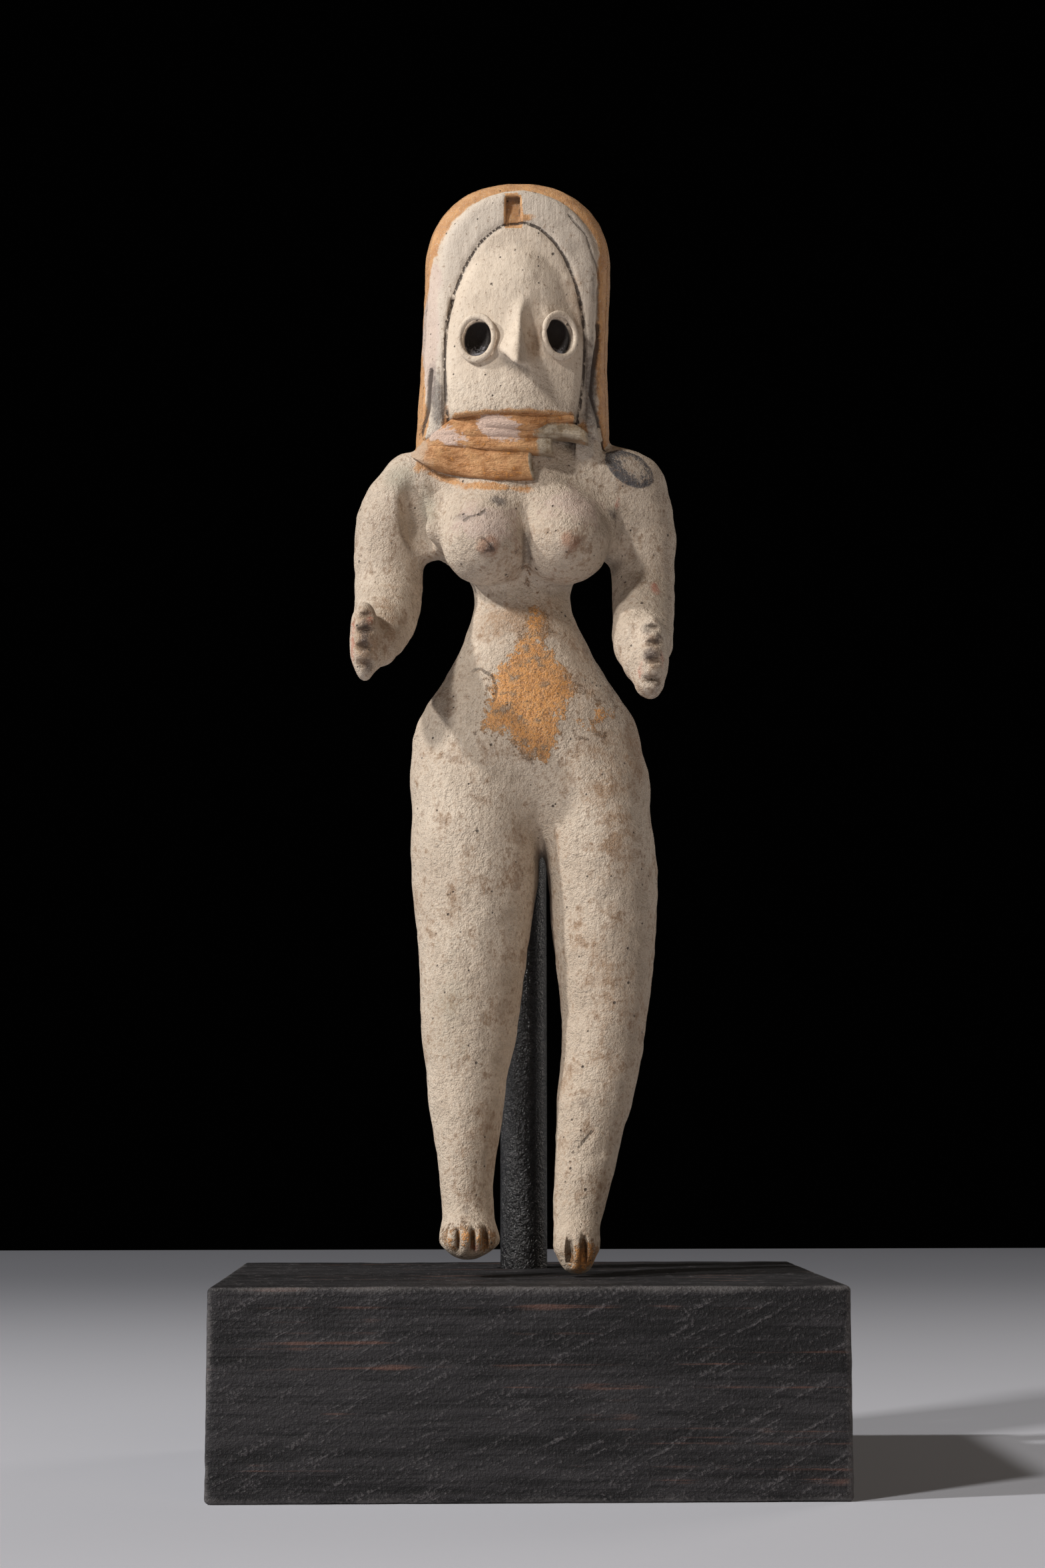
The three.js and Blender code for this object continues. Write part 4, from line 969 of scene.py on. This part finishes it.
def fired_clay():
    """Slip over clay, with every patch of paint cut off by noise at its own scale."""
    clay_finish = Finish("fired_clay")
    paint, noise, mix = clay_finish.paint, clay_finish.noise, clay_finish.mix
    broad, patches, mottle = noise(17, 2), noise(5, 3), noise(1.7, 4, 0.68)
    fine, sand = noise(0.6, 3, 0.7), noise(0.25, 2, 0.7)
    drag = noise(0.8, 3, 0.6, clay_finish.stretched(1.0, 1.0, 0.12))
    ragged = (mottle - 0.5) * 2.0 + (fine - 0.5) * 1.1
    fleck = (mottle - 0.5) * 1.6 + (fine - 0.5) * 1.2 + (sand - 0.5) * 0.6
    smooth_face = paint("smooth")
    colour = mix((broad * 0.5 + patches * 0.5 + mottle * 0.6).above(0.64, 0.98), SLIP_MID, SLIP_LIGHT)
    worn = (patches * 0.5 + mottle * 0.8 + fine * 0.3).above(0.76, 0.98) * (0.85 - 0.6 * smooth_face)
    colour = mix(worn, colour, SLIP_DEEP)
    pale = (patches * 0.4 + mottle * 0.6 + drag * 0.5).above(0.80, 0.92) * 0.5
    colour = mix(pale, colour, (0.74, 0.66, 0.56))
    # Grey-green painted sheen and painted shade at the left shoulder and armpit.
    green_sheen_and_shade = (paint("green_sheen_and_shade") + (patches - 0.5) * 1.5).above(0.0, 1.0)
    colour = mix(green_sheen_and_shade * 0.45, colour, (0.30, 0.30, 0.23))
    colour = mix(smooth_face * (0.25 + 0.4 * patches), colour, SLIP_LIGHT)
    colour = mix(paint("on_band") * (0.35 + 0.5 * patches), colour, BAND_GREY)
    # Brown mottling, with painted shade beside the nose and at the right temple.
    brown_mottle_and_shade = (paint("brown_mottle_and_shade") + fleck * 1.2 + (patches - 0.5) * 4).above(0.0, 1.8)
    colour = mix(brown_mottle_and_shade * (0.45 + 0.6 * fine), colour, BROWN_MOTTLE_AND_SHADE)
    pink = (paint("pink") + ragged * 0.7 + (patches - 0.5) * 2).above(0.1, 0.7)
    colour = mix(pink * 0.6, colour, PINK_WHITE)
    weak = (paint("weak_ochre") * 0.5 + fleck * 1.9 + (patches - 0.5) * 3.4).above(-0.25, 0.10)
    bare = (sand * 0.2 + fine * 0.5 + mottle * 0.9 + (patches - 0.5) * 0.5).above(0.84, 0.98)
    weak_tone = mix((fine + mottle * 0.7).above(0.72, 0.98), OCHRE_DEEP, OCHRE_WORN)
    weak_tone = mix((sand * 0.7 + fine * 0.7).above(0.62, 0.72) * 0.85, weak_tone, OCHRE_BRIGHT)
    colour = mix(weak * (0.92 - 0.85 * bare), colour, weak_tone)
    ochre_tone = mix(mottle.above(0.35, 0.7), OCHRE_LIGHT, OCHRE_DEEP)
    ochre_tone = mix((fine * mottle).above(0.3, 0.42) * 0.5, ochre_tone, OCHRE_BRIGHT)
    ochre = (paint("ochre") + ragged * 0.55 + (patches - 0.5) * 1.6).above(-0.1, 0.35)
    colour = mix(ochre * 0.92, colour, ochre_tone)
    nipple = (paint("nipple") + ragged * 0.7).above(-0.1, 0.9)
    colour = mix(nipple * 0.75, colour, NIPPLE_BROWN)
    red = (paint("red") + ragged * 0.8).above(-0.1, 0.5)
    colour = mix(red * 0.6, colour, (0.55, 0.17, 0.11))
    sooty = (paint("soot") + fleck * 1.1).above(-0.3, 1.0) * (0.4 + 0.6 * fine)
    colour = mix(sooty, colour, SOOT)
    spot = (paint("spot") + ragged * 0.26).above(-0.08, 0.16)
    worn_spot = (paint("spot_worn") + fleck * 2.2 + (patches - 0.5) * 2).above(-0.6, 0.5) * 0.72
    colour = mix(spot * (0.95 - worn_spot) * (0.8 + 0.3 * mottle), colour, SPOT_BLACK)
    specks = (fine * 0.75 + sand * 0.35).above(0.62, 0.70)
    colour = mix(specks * 0.7, colour, SLIP_DEEP)
    colour = mix(sand.above(0.54, 0.70) * 0.35, colour, (0.84, 0.76, 0.66))
    pores = clay_finish.pores(2.3, 0.28, 0.24).most(clay_finish.pores(1.2, 0.18, 0.16))
    colour = mix(pores * 0.85, colour, PORE)
    # Soil colour and painted shade in the hollows and creases.
    soil_and_shade = (paint("hollow_soil_and_shade") + fleck * 0.12).above(0.36, 0.9)
    colour = mix(soil_and_shade * 0.6, colour, SOIL_AND_SHADE)
    crack = (paint("crack") + ragged * 0.18).above(0.30, 0.10)
    # The seam's dark line is painted shade.
    seam = (paint("seam") + ragged * 0.2).above(0.28, 0.12)
    drawn = (paint("drawn") + ragged * 0.22).above(0.5, 0.2).most(seam)
    colour = mix((crack * 0.55).most(drawn * 0.9), colour, PORE)
    # Eye pits: painted shade in near black, with grey grit and painted light on the lower floor.
    pit_shade = paint("pit_shade").above(0.0, 0.18)
    pit_grit_and_floor_light = (fine * 0.7 + sand * 0.4 + paint("pit_floor_light") * 0.42).above(0.68, 0.98)
    colour = mix(pit_shade, colour, mix(pit_grit_and_floor_light, (0.012, 0.008, 0.006), (0.26, 0.25, 0.27)))
    rough = 0.70 - 0.16 * patches + 0.1 * fine - 0.1 * spot + 0.1 * smooth_face
    coarse_skin = 1.0 - 0.72 * smooth_face
    height = (sand * 0.2 + fine * 0.52) * coarse_skin + fine * (paint("grit") * 0.3)
    height = height + mottle * 0.62 * coarse_skin + patches * 0.4 + drag * 0.14 - worn * 0.2
    height = height - pores * 0.3 - crack * 0.15 - drawn * 0.25 + weak * 0.06 + bare * weak * 0.2
    return clay_finish.shader(colour, rough, height, Specular_IOR_Level=0.42)


clay_material = fired_clay()
add_piece(
    "idol_clay", clay_points + (0, 0, figure_lift), [clay_quads], clay_material, "idol", clay_paint
)

# %% [markdown]
# ## Eye coils
#
# The eyes are thin rolls of clay bent into ovals and pressed on round the pits. A roll is a tube carried
# round a closed path, so it is a grid of two angles. Its thickness wanders a little, and the place where
# the two ends of the roll meet is pinched.


# %% Two pressed-on rolls
ROLL_RINGS, ROLL_SIDES = 96, 20


def eye_roll(eye, seam, seed):
    """Points of an oval ring: a small circle carried round a large one, thinner at the seam."""
    around = np.linspace(0, 2 * np.pi, ROLL_RINGS, endpoint=False)[:, None]
    section = np.linspace(0, 2 * np.pi, ROLL_SIDES, endpoint=False)[None, :]
    ring = np.stack([np.cos(around), 0 * around, np.sin(around)], -1)
    pinch = 1 - 0.22 * np.exp(-(((around - seam + np.pi) % (2 * np.pi) - np.pi) / 0.12) ** 2)
    thick = EYE_COIL * pinch * (1 + 0.09 * lumps(ring.reshape(-1, 3) * 3, 1.3, seed).reshape(-1, 1))
    wide = EYE_RING + thick * np.cos(section)
    x, z = wide * np.cos(around), wide * np.sin(around) * EYE_STRETCH
    y = -0.15 - thick * 0.95 * np.sin(section)
    cos, sin = math.cos(eye["turn"]), math.sin(eye["turn"])
    roll = np.stack([x * cos - y * sin, x * sin + y * cos, z], -1)
    return roll + eye["middle"] + (0, 0, figure_lift)


def ring_faces(rings, sides):
    """Quads of a grid that closes on itself both ways."""
    ring, side = np.meshgrid(np.arange(rings), np.arange(sides), indexing="ij")
    onward, beside = (ring + 1) % rings, (side + 1) % sides
    corners = [ring * sides + side, ring * sides + beside, onward * sides + beside, onward * sides + side]
    return np.stack(corners, -1).reshape(-1, 4)


for name, eye, seam in (("eye_roll_left", EYES[0], -0.3), ("eye_roll_right", EYES[1], 3.0)):
    roll = eye_roll(eye, seam, 11)
    points = roll.reshape(-1, 3)
    plain = dict(crack=9, drawn=9, seam=9, hollow_soil_and_shade=0, on_band=0, grit=0, smooth=1)
    bare = {key: np.full(len(points), plain.get(key, NO_PAINT)) for key in clay_paint}
    add_piece(name, points, [ring_faces(ROLL_RINGS, ROLL_SIDES)], clay_material, None, bare)

# %% [markdown]
# ## The scarf
#
# Strips of clay were laid over each other at the throat, their ends cut off in steps. Each strip is a
# flat section carried from the left shoulder to its cut end. It lies on the chest wherever the chest is,
# because every point starts far in front and walks back until it meets the field.


# %% Strips laid on the chest
def front_of(field, x, z):
    """How far forward the field's surface lies at each x and z, by walking in along y."""
    y = np.full(x.shape, -22.0)
    for _ in range(60):
        y = np.minimum(y + 0.75 * field((x, y, z)), 2.0)
    return y


def under_scarf(point):
    """What the strips lie on, smoothed so that they bridge its hollows: the chest and the hood's hem."""
    return smooth_min(smooth_min(shoulders(point), bust(point), 3), hood(point), 3)


STRIPS = [
    dict(
        name="scarf_low", thick=1.4, slant=0.9,
        below=[
            (-17.6, 125.9), (-15.6, 124.2), (-13.6, 123.2), (-11, 122.4), (-7.9, 121.5), (-4.3, 120.8),
            (1.7, 121.0),
        ],
        above=[(-17.6, 126.5), (-13, 127.5), (-6, 127.0), (1.2, 126.3)],
    ),
    dict(
        name="scarf_second", thick=2.0, slant=0.2,
        below=[(-16.8, 126.3), (-13, 126.6), (-6.4, 125.7), (-2.3, 125.1), (0.5, 125.0), (4.6, 124.8)],
        above=[(-16.8, 127.3), (-12, 129.2), (-4, 128.8), (4.4, 128.2)],
    ),
    dict(
        name="scarf_third", thick=2.6, slant=0.0,
        below=[(-16, 127.1), (-10, 127.8), (-4.7, 127.2), (1.4, 127.1), (5.8, 127.6), (10.0, 127.1)],
        above=[(-16, 127.9), (-13.6, 129.4), (-10.5, 131.5), (0, 131.6), (6.8, 130.6), (9.8, 128.9)],
    ),
    dict(
        name="scarf_top", thick=3.1, slant=-0.4,
        below=[(-12, 130.0), (-7, 128.9), (-1.8, 128.2), (2.1, 128.5), (4.2, 129.6), (8.0, 130.2)],
        above=[(-12, 130.8), (-9.5, 131.9), (3, 132.0), (7.8, 131.2)],
    ),
]
STRIP_RINGS, STRIP_SIDES = 220, 44
PINK_PATCHES = [((-4.0, 129.0), (3.9, 2.2)), ((-12.3, 128.4), (3.6, 1.5))]
PALE_ENDS = {"scarf_third": ((7.5, 128.6), (7.0, 1.7), 0.05), "scarf_second": ((4.2, 126.4), (2.4, 2.4))}


def strip_rings(strip, seed):
    """A strip's sections. Across it the outer side is nearly flat with rounded edges, and the inner side is
    buried. Along it the thickness grows from nothing at the left and stays full up to the cut end."""
    lower = np.array(strip["below"], np.float32)
    upper = np.array(strip["above"], np.float32)
    run = np.linspace(0, 1, STRIP_RINGS)[:, None]
    turn = np.linspace(0, 2 * np.pi, STRIP_SIDES, endpoint=False)[None, :]
    across = np.sign(-np.cos(turn)) * np.abs(np.cos(turn)) ** 0.7 * 0.5 + 0.5
    end_x = lower[-1, 0] + (upper[-1, 0] - lower[-1, 0]) * across
    end_x = end_x - strip["slant"] * np.sin(np.pi * across) * 0.5
    x = lower[0, 0] + (end_x - lower[0, 0]) * run
    low_z = through_rows(lower, x)[1]
    high_z = through_rows(upper, x)[1]
    z = low_z + (high_z - low_z) * across
    grid = np.stack([x, 0 * x, z], -1).reshape(-1, 3)
    z = z + 0.16 * lumps(grid * (0.4, 1, 0.4), 1.5, seed).reshape(x.shape)
    base = front_of(under_scarf, x, z)
    grow = ramp(run, 0, 0.3) ** 0.7 * strip["thick"]
    outer = np.maximum(np.sin(turn), 0) ** 0.45
    inner = np.minimum(np.sin(turn), 0)
    drawn_out = np.stack([x * 0.12, 0 * x, z * 2.4], -1).reshape(-1, 3)
    ridges = 0.10 * lumps(drawn_out, 1.0, seed + 1).reshape(x.shape)
    ridges = ridges + 0.12 * lumps(grid, 3.0, seed + 2).reshape(x.shape)
    bevel = 1 - 0.14 * ramp(run, 0.985, 1)
    y = base - grow * outer * bevel - ridges * outer - 0.54 * inner
    return np.stack([x, y, z], -1), run + 0 * x, across + 0 * run


def lay_strip(strip, seed, material):
    """Makes a strip's mesh, with the paint fields that its finish reads."""
    rings, run, across = strip_rings(strip, seed)
    x, y, z = rings.reshape(-1, 3).T
    ends = np.array([rings[0].mean(0), rings[-1].mean(0)])
    end_side = np.concatenate([ramp(run.ravel(), 0.965, 0.995), [0, 1]])
    x, z = np.concatenate([x, ends[:, 0]]), np.concatenate([z, ends[:, 2]])
    pinks = [blot(x, z, place, radii, -0.35) for place, radii in PINK_PATCHES]
    pale = np.full(x.shape, NO_PAINT)
    if strip["name"] in PALE_ENDS:
        pale = blot(x, z, *PALE_ENDS[strip["name"]])
    # Edge: each strip's lower lip, which the finish darkens as painted shade where it meets the chest.
    edge = np.concatenate([ramp(-across.ravel(), -0.1, 0.0), [0, 0]])
    paint = dict(pink=np.max(pinks, 0), pale=pale, cut=end_side, edge=edge, fade=ramp(-x, 12.5, 17.0))
    add_piece(
        strip["name"], close_tube(rings) + (0, 0, figure_lift), tube_faces(STRIP_RINGS, STRIP_SIDES),
        material, None, paint,
    )


def scarf_paint_finish():
    """Ochre drawn out along the strips, pale patches, and fine cracks that run the same way."""
    scarf = Finish("scarf_ochre")
    paint, noise, mix = scarf.paint, scarf.noise, scarf.mix
    lengthwise = scarf.stretched(0.16, 1.0, 1.0)
    streaks = noise(0.8, 4, 0.7, lengthwise)
    hairs = noise(0.3, 3, 0.7, lengthwise)
    mottle, fine, patches = noise(1.6, 4, 0.65), noise(0.5, 3, 0.7), noise(5, 3)
    ragged = (mottle - 0.5) * 2.0 + (fine - 0.5) * 1.1
    tone = mix(streaks.above(0.38, 0.62), (0.62, 0.325, 0.15), (0.34, 0.15, 0.055))
    tone = mix((patches + mottle).above(0.95, 1.2) * 0.55, tone, (0.66, 0.38, 0.18))
    tone = mix((fine * streaks).above(0.29, 0.42) * 0.6, tone, OCHRE_BRIGHT)
    pink = (paint("pink") + ragged * 0.9 + (streaks - 0.5) * 3.2).above(0.0, 0.4)
    tone = mix(pink * 0.9, tone, (0.66, 0.50, 0.42))
    cut = (paint("cut") + ragged * 0.15).above(0.3, 0.7)
    pale = (paint("pale") + ragged * 0.7).above(-0.1, 0.5).most(cut)
    tone = mix(pale * 0.88, tone, mix(mottle.above(0.4, 0.62), (0.28, 0.225, 0.15), (0.52, 0.46, 0.36)))
    tone = mix((paint("fade") + ragged * 0.4).above(0.3, 0.9) * 0.7, tone, SLIP_MID)
    cracks = hairs.above(0.36, 0.30) * streaks.above(0.5, 0.38)
    tone = mix(cracks * 0.6, tone, (0.12, 0.05, 0.025))
    pores = scarf.pores(2.0, 0.2, 0.25)
    tone = mix(pores * 0.8, tone, PORE)
    # Painted shade along each strip's lower edge.
    tone = mix(paint("edge") * 0.35, tone, (0.16, 0.08, 0.04))
    height = streaks * 0.45 + hairs * 0.16 + fine * 0.16 + mottle * 0.2 - cracks * 0.2 - pores * 0.15
    return scarf.shader(tone, 0.8 - 0.1 * mottle, height, Specular_IOR_Level=0.3)


scarf_material = scarf_paint_finish()
for number, strip in enumerate(STRIPS):
    lay_strip(strip, 20 + 5 * number, scarf_material)

# %% [markdown]
# ## The rod
#
# A turned steel bar painted gloss black. It is a profile spun round an upright axis. The paint was laid on
# thickly and has grit in it, so its highlight breaks up into specks; grey specks painted into its colour
# add glints of light.


# %% A lathed bar and its paint
def spun(profile, middle, sides=72):
    """Points of a profile of radius and height carried round an upright axis, first ring to last."""
    profile = np.array(profile)
    turn = np.linspace(0, 2 * np.pi, sides, endpoint=False)
    radius, height = profile[:, :1], profile[:, 1:]
    x, y = middle[0] + radius * np.cos(turn), middle[1] + radius * np.sin(turn)
    return np.stack([x, y, height + 0 * x], -1)


ROD_BEVEL = 0.5
bevel_turn = np.linspace(0, np.pi / 2, 6)
bevel_radius = rod_radius - ROD_BEVEL * (1 - np.sin(bevel_turn))
foot_bevel = np.stack([bevel_radius, rod_low[2] + ROD_BEVEL * (1 - np.cos(bevel_turn))], 1)
shaft = np.stack([np.full(90, rod_radius), np.linspace(rod_low[2] + 1, rod_high[2] - 1, 90)], 1)
head_bevel = foot_bevel[::-1] * (1, -1) + (0, rod_low[2] + rod_high[2])
foot_middle = [(0.8 * (rod_radius - ROD_BEVEL), rod_low[2])]
rod_profile = np.concatenate([foot_middle, foot_bevel, shaft, head_bevel])


def gloss_black():
    """Black paint with dust in it: a smooth gloss broken by small grains, with grey specks painted in as
    glints.
    """
    rod = Finish("gloss_black_paint")
    grains, dust, flow = rod.noise(0.7, 3, 0.7), rod.noise(0.25, 2, 0.7), rod.noise(4, 2)
    # Painted glints: grey specks in the black that stand in for the gritty highlight.
    specks = (grains * dust).above(0.30, 0.40)
    colour = rod.mix(specks * 0.4, (0.006, 0.006, 0.007), (0.20, 0.19, 0.195))
    chips = rod.pores(3.5, 0.3, 0.12)
    colour = rod.mix(chips * 0.7, colour, (0.35, 0.30, 0.25))
    rough = 0.20 + 0.20 * grains
    return rod.shader(colour, rough, grains * 0.55 + dust * 0.16 + flow * 0.12, Specular_IOR_Level=0.6)


rod_rings = spun(rod_profile, rod_middle)
rod_faces = tube_faces(*rod_rings.shape[:2])
add_piece("gloss_rod", close_tube(rod_rings), rod_faces, gloss_black(), "mount_rod")

# %% [markdown]
# ## The block
#
# A sawn block of wood, stained black. It could be a cube with a Bevel and a Boolean, but then the saw's
# marks could not be pressed into its faces. So it is one closed grid: rings that follow the block's
# outline up its sides, close in over the top to the rod's hole, and go down the hole to its floor.

# %% Rings from the underside, up the sides, over the top and down the hole
BLOCK_EDGE, HOLE_CLEARANCE, HOLE_FLOOR = 0.7, 0.3, 9.5
BLOCK_AROUND = 416
half_width, half_depth = block_high[0], block_high[1]
perimeter = np.linspace(0, 4, BLOCK_AROUND, endpoint=False)


def block_outline(inset):
    """Points round a rectangle with small round corners, moved in by the inset."""
    side = np.floor(perimeter).astype(int)
    along = (perimeter - side) * 2 - 1
    corners = np.array([(1, -1), (1, 1), (-1, 1), (-1, -1)])
    start, stop = corners[side], corners[(side + 1) % 4]
    square = start + (stop - start) * ((along + 1) / 2)[:, None]
    size = np.array([half_width, half_depth]) - BLOCK_EDGE
    core = np.clip(square * (half_width, half_depth), -size, size)
    out = square * (half_width, half_depth) - core
    length = np.maximum(np.linalg.norm(out, axis=1, keepdims=True), 1e-6)
    return core + out / length * (BLOCK_EDGE - inset)


def block_rings():
    """All the rings in order. Between outline and hole a ring is a blend of the two."""
    outer, ground = block_outline(0), block_high[2]
    to_hole = outer - rod_middle
    to_hole /= np.linalg.norm(to_hole, axis=1, keepdims=True)
    hole = rod_middle + to_hole * (rod_radius + HOLE_CLEARANCE)
    rings = []
    for share in np.linspace(0.02, 1, 14):
        rings.append((block_outline(BLOCK_EDGE) * share, 0.0))
    for turn in np.linspace(0, np.pi / 2, 5)[1:]:
        rings.append((block_outline(BLOCK_EDGE * (1 - np.sin(turn))), BLOCK_EDGE * (1 - np.cos(turn))))
    for height in np.linspace(BLOCK_EDGE, ground - BLOCK_EDGE, 44)[1:]:
        rings.append((outer, height))
    for turn in np.linspace(0, np.pi / 2, 5)[1:]:
        inset = BLOCK_EDGE * (1 - np.cos(turn))
        rings.append((block_outline(inset), ground - BLOCK_EDGE * (1 - np.sin(turn))))
    flat = block_outline(BLOCK_EDGE)
    for share in np.linspace(0, 1, 40)[1:]:
        rings.append((flat + (hole - flat) * share, ground))
    for height in np.linspace(ground, HOLE_FLOOR, 14)[1:]:
        rings.append((hole, height))
    rings.append((rod_middle + (hole - rod_middle) * 0.3, HOLE_FLOOR))
    return np.stack([np.column_stack([ring, np.full(BLOCK_AROUND, height)]) for ring, height in rings])


def saw_marks(points):
    """How deep the saw and the grain cut: slanting scores on the sides and shallow grain everywhere."""
    x, y, z = points.T
    slanted = lumps(np.stack([(z - 0.42 * x) * 1.0, y * 0.05, (x + 0.42 * z) * 0.06], 1), 1.6, 41)
    grain = lumps(points * (0.05, 0.6, 1.0), 0.9, 42)
    dents = np.maximum(lumps(points, 4.5, 43) - 0.45, 0)
    return 0.05 + 0.045 * slanted + 0.035 * grain + 0.35 * dents


rings = block_rings()
block_points = close_tube(rings)
inward = block_points - (0, 0, block_high[2] / 2)
size = np.array([half_width, half_depth, block_high[2] / 2])
walls = np.clip(1 - (size - np.abs(inward)) / 1.0, 0, 1) * np.sign(inward)
walls /= np.maximum(np.linalg.norm(walls, axis=1, keepdims=True), 1)
in_hole = np.hypot(*(block_points[:, :2] - rod_middle).T) < rod_radius + 1.2
depth = np.where(in_hole, 0, saw_marks(block_points))
depth[block_points[:, 2] < 0.01] = 0
block_points = np.clip(block_points - walls * depth[:, None], block_low, block_high)
edge_near = np.sort(size - np.abs(inward), axis=1)[:, 1]


def ebonised_wood():
    """Black stain over open grain: long fibres, slanting saw scores, rubbed edges and reddish scuffs."""
    wood = Finish("ebonised_wood")
    fibres = wood.noise(0.7, 4, 0.7, wood.stretched(0.06, 0.6, 1.0))
    grain = wood.noise(2.6, 3, 0.6, wood.stretched(0.05, 0.5, 1.0))
    scores = wood.noise(0.9, 3, 0.6, wood.stretched(0.10, 0.3, 1.0, (0.0, -0.47, 0.0)))
    clouds, fine = wood.noise(16, 3, 0.6), wood.noise(0.5, 3, 0.7)
    stripes = (fibres * 0.6 + grain * 0.5).above(0.45, 0.68)
    colour = wood.mix(stripes, (0.005, 0.0047, 0.0058), (0.030, 0.028, 0.031))
    scored = scores.above(0.55, 0.70) * (clouds * 0.8 + fine * 0.5).above(0.50, 0.85)
    colour = wood.mix(scored * 0.75, colour, (0.060, 0.057, 0.062))
    colour = wood.mix((fine * 0.6 + scores * 0.5).above(0.60, 0.68) * 0.5, colour, (0.13, 0.12, 0.125))
    line = wood.noise(2.2, 3, 0.6, wood.stretched(0.025, 0.6, 1.6))
    rubbed = (line * 0.9 + clouds * 0.5).above(0.80, 0.9) * fibres.above(0.35, 0.6)
    colour = wood.mix(rubbed * 0.8, colour, (0.14, 0.066, 0.048))
    edge = (wood.paint("edge") + (clouds - 0.5) * 1.4 + (fine - 0.5) * 0.9).above(0.55, 1.1)
    colour = wood.mix(edge * 0.6, colour, (0.15, 0.14, 0.14))
    dust = (clouds + fine * 0.4).above(0.72, 1.0) * 0.25
    colour = wood.mix(dust, colour, (0.07, 0.067, 0.07))
    rough = 0.56 + 0.22 * fibres
    height = fibres * 0.24 + grain * 0.14 + scores * 0.2 + scored * 0.1 + fine * 0.3
    return wood.shader(colour, rough, height, Specular_IOR_Level=0.35)


block_paint = dict(edge=ramp(-edge_near, -2.2, -0.1) * (~in_hole))
block_faces = tube_faces(*rings.shape[:2])
add_piece(
    "black_block", block_points, block_faces, ebonised_wood(), "wood_block", block_paint
)

# %% [markdown]
# ## Floor, light and camera
#
# A plain pale floor and soft light from upper left. The camera stands where the photographer's did: its
# place, its turn and its lens were worked out from the block's corners.


# %% The stage
def plain_floor():
    """A very large pale square at the height of the block's underside, with painted shade that darkens it
    far behind.
    """
    floor_finish = Finish("pale_floor")
    tone = floor_finish.mix(floor_finish.noise(60, 2) * 0.2, (0.62, 0.63, 0.69), (0.54, 0.55, 0.60))
    away = floor_finish.node("ShaderNodeSeparateXYZ", {}, floor_finish.place, output="Y")
    # Painted shade: the floor darkens with distance behind the block, as the light falls off.
    tone = floor_finish.mix(away.above(0.0, 0.55) * 0.8, tone, (0.14, 0.145, 0.17))
    floor_finish.shader(tone, 0.6, 0.0)
    mesh = bpy.data.meshes.new("floor")
    mesh.from_pydata([(-3, -3, 0), (3, -3, 0), (3, 0.7, 0), (-3, 0.7, 0)], [], [(0, 1, 2, 3)])
    mesh.materials.append(floor_finish.material)
    floor = bpy.data.objects.new("floor", mesh)
    bpy.context.scene.collection.objects.link(floor)
    floor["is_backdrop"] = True


def soft_light(name, place, target, size, watts, colour=(1, 1, 1)):
    """A square area light that faces its target. Places are in metres."""
    lamp = bpy.data.lights.new(name, "AREA")
    lamp.size, lamp.energy, lamp.color = size, watts, colour
    light = bpy.data.objects.new(name, lamp)
    light.location = place
    light.rotation_euler = (Vector(target) - Vector(place)).to_track_quat("-Z", "Y").to_euler()
    bpy.context.scene.collection.objects.link(light)


plain_floor()
TARGET = (0.0, 0.0, 0.12)
soft_light("key", (-1.18, -1.00, 1.12), TARGET, 0.16, 19.5, (1.0, 0.97, 0.93))
soft_light("side", (-1.46, -0.40, 1.15), TARGET, 0.07, 21.0, (1.0, 0.98, 0.95))
soft_light("fill", (0.45, -0.85, 0.30), TARGET, 0.7, 1.15, (1.0, 0.79, 0.60))
soft_light("rim", (0.55, 0.45, 0.35), TARGET, 0.3, 0.8, (1.0, 0.93, 0.85))
world = bpy.data.worlds.new("dim_room")
world.use_nodes = True
world.node_tree.nodes["Background"].inputs[0].default_value = (0.80, 0.80, 0.80, 1)
world.node_tree.nodes["Background"].inputs[1].default_value = 0.0005
bpy.context.scene.world = world
bpy.context.scene.view_settings.view_transform = "Standard"

CAMERA_PLACE = np.array([-11.26, -396.77, 51.78])
YAW, PITCH, ROLL = 1.619, 7.578, -0.065
LENS, SENSOR = 58.9, 36.0
lens = bpy.data.cameras.new("camera")
lens.sensor_width, lens.lens = SENSOR, LENS
camera = bpy.data.objects.new("camera", lens)
aim = Matrix.Rotation(-math.radians(YAW), 4, "Z") @ Matrix.Rotation(math.radians(90 + PITCH), 4, "X")
aim = aim @ Matrix.Rotation(math.radians(ROLL), 4, "Z")
camera.matrix_world = Matrix.Translation(Vector(CAMERA_PLACE * MM)) @ aim
bpy.context.scene.collection.objects.link(camera)
bpy.context.scene.camera = camera

# %% Sizes: the construction model's box beside the finished one
new_low, new_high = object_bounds()
boxes = {"cad": [list(cad_low), list(cad_high)], "visual": [list(new_low), list(new_high)]}
for name, box in boxes.items():
    print(name, "box in mm:", np.round(np.array(box) / MM, 2).tolist())
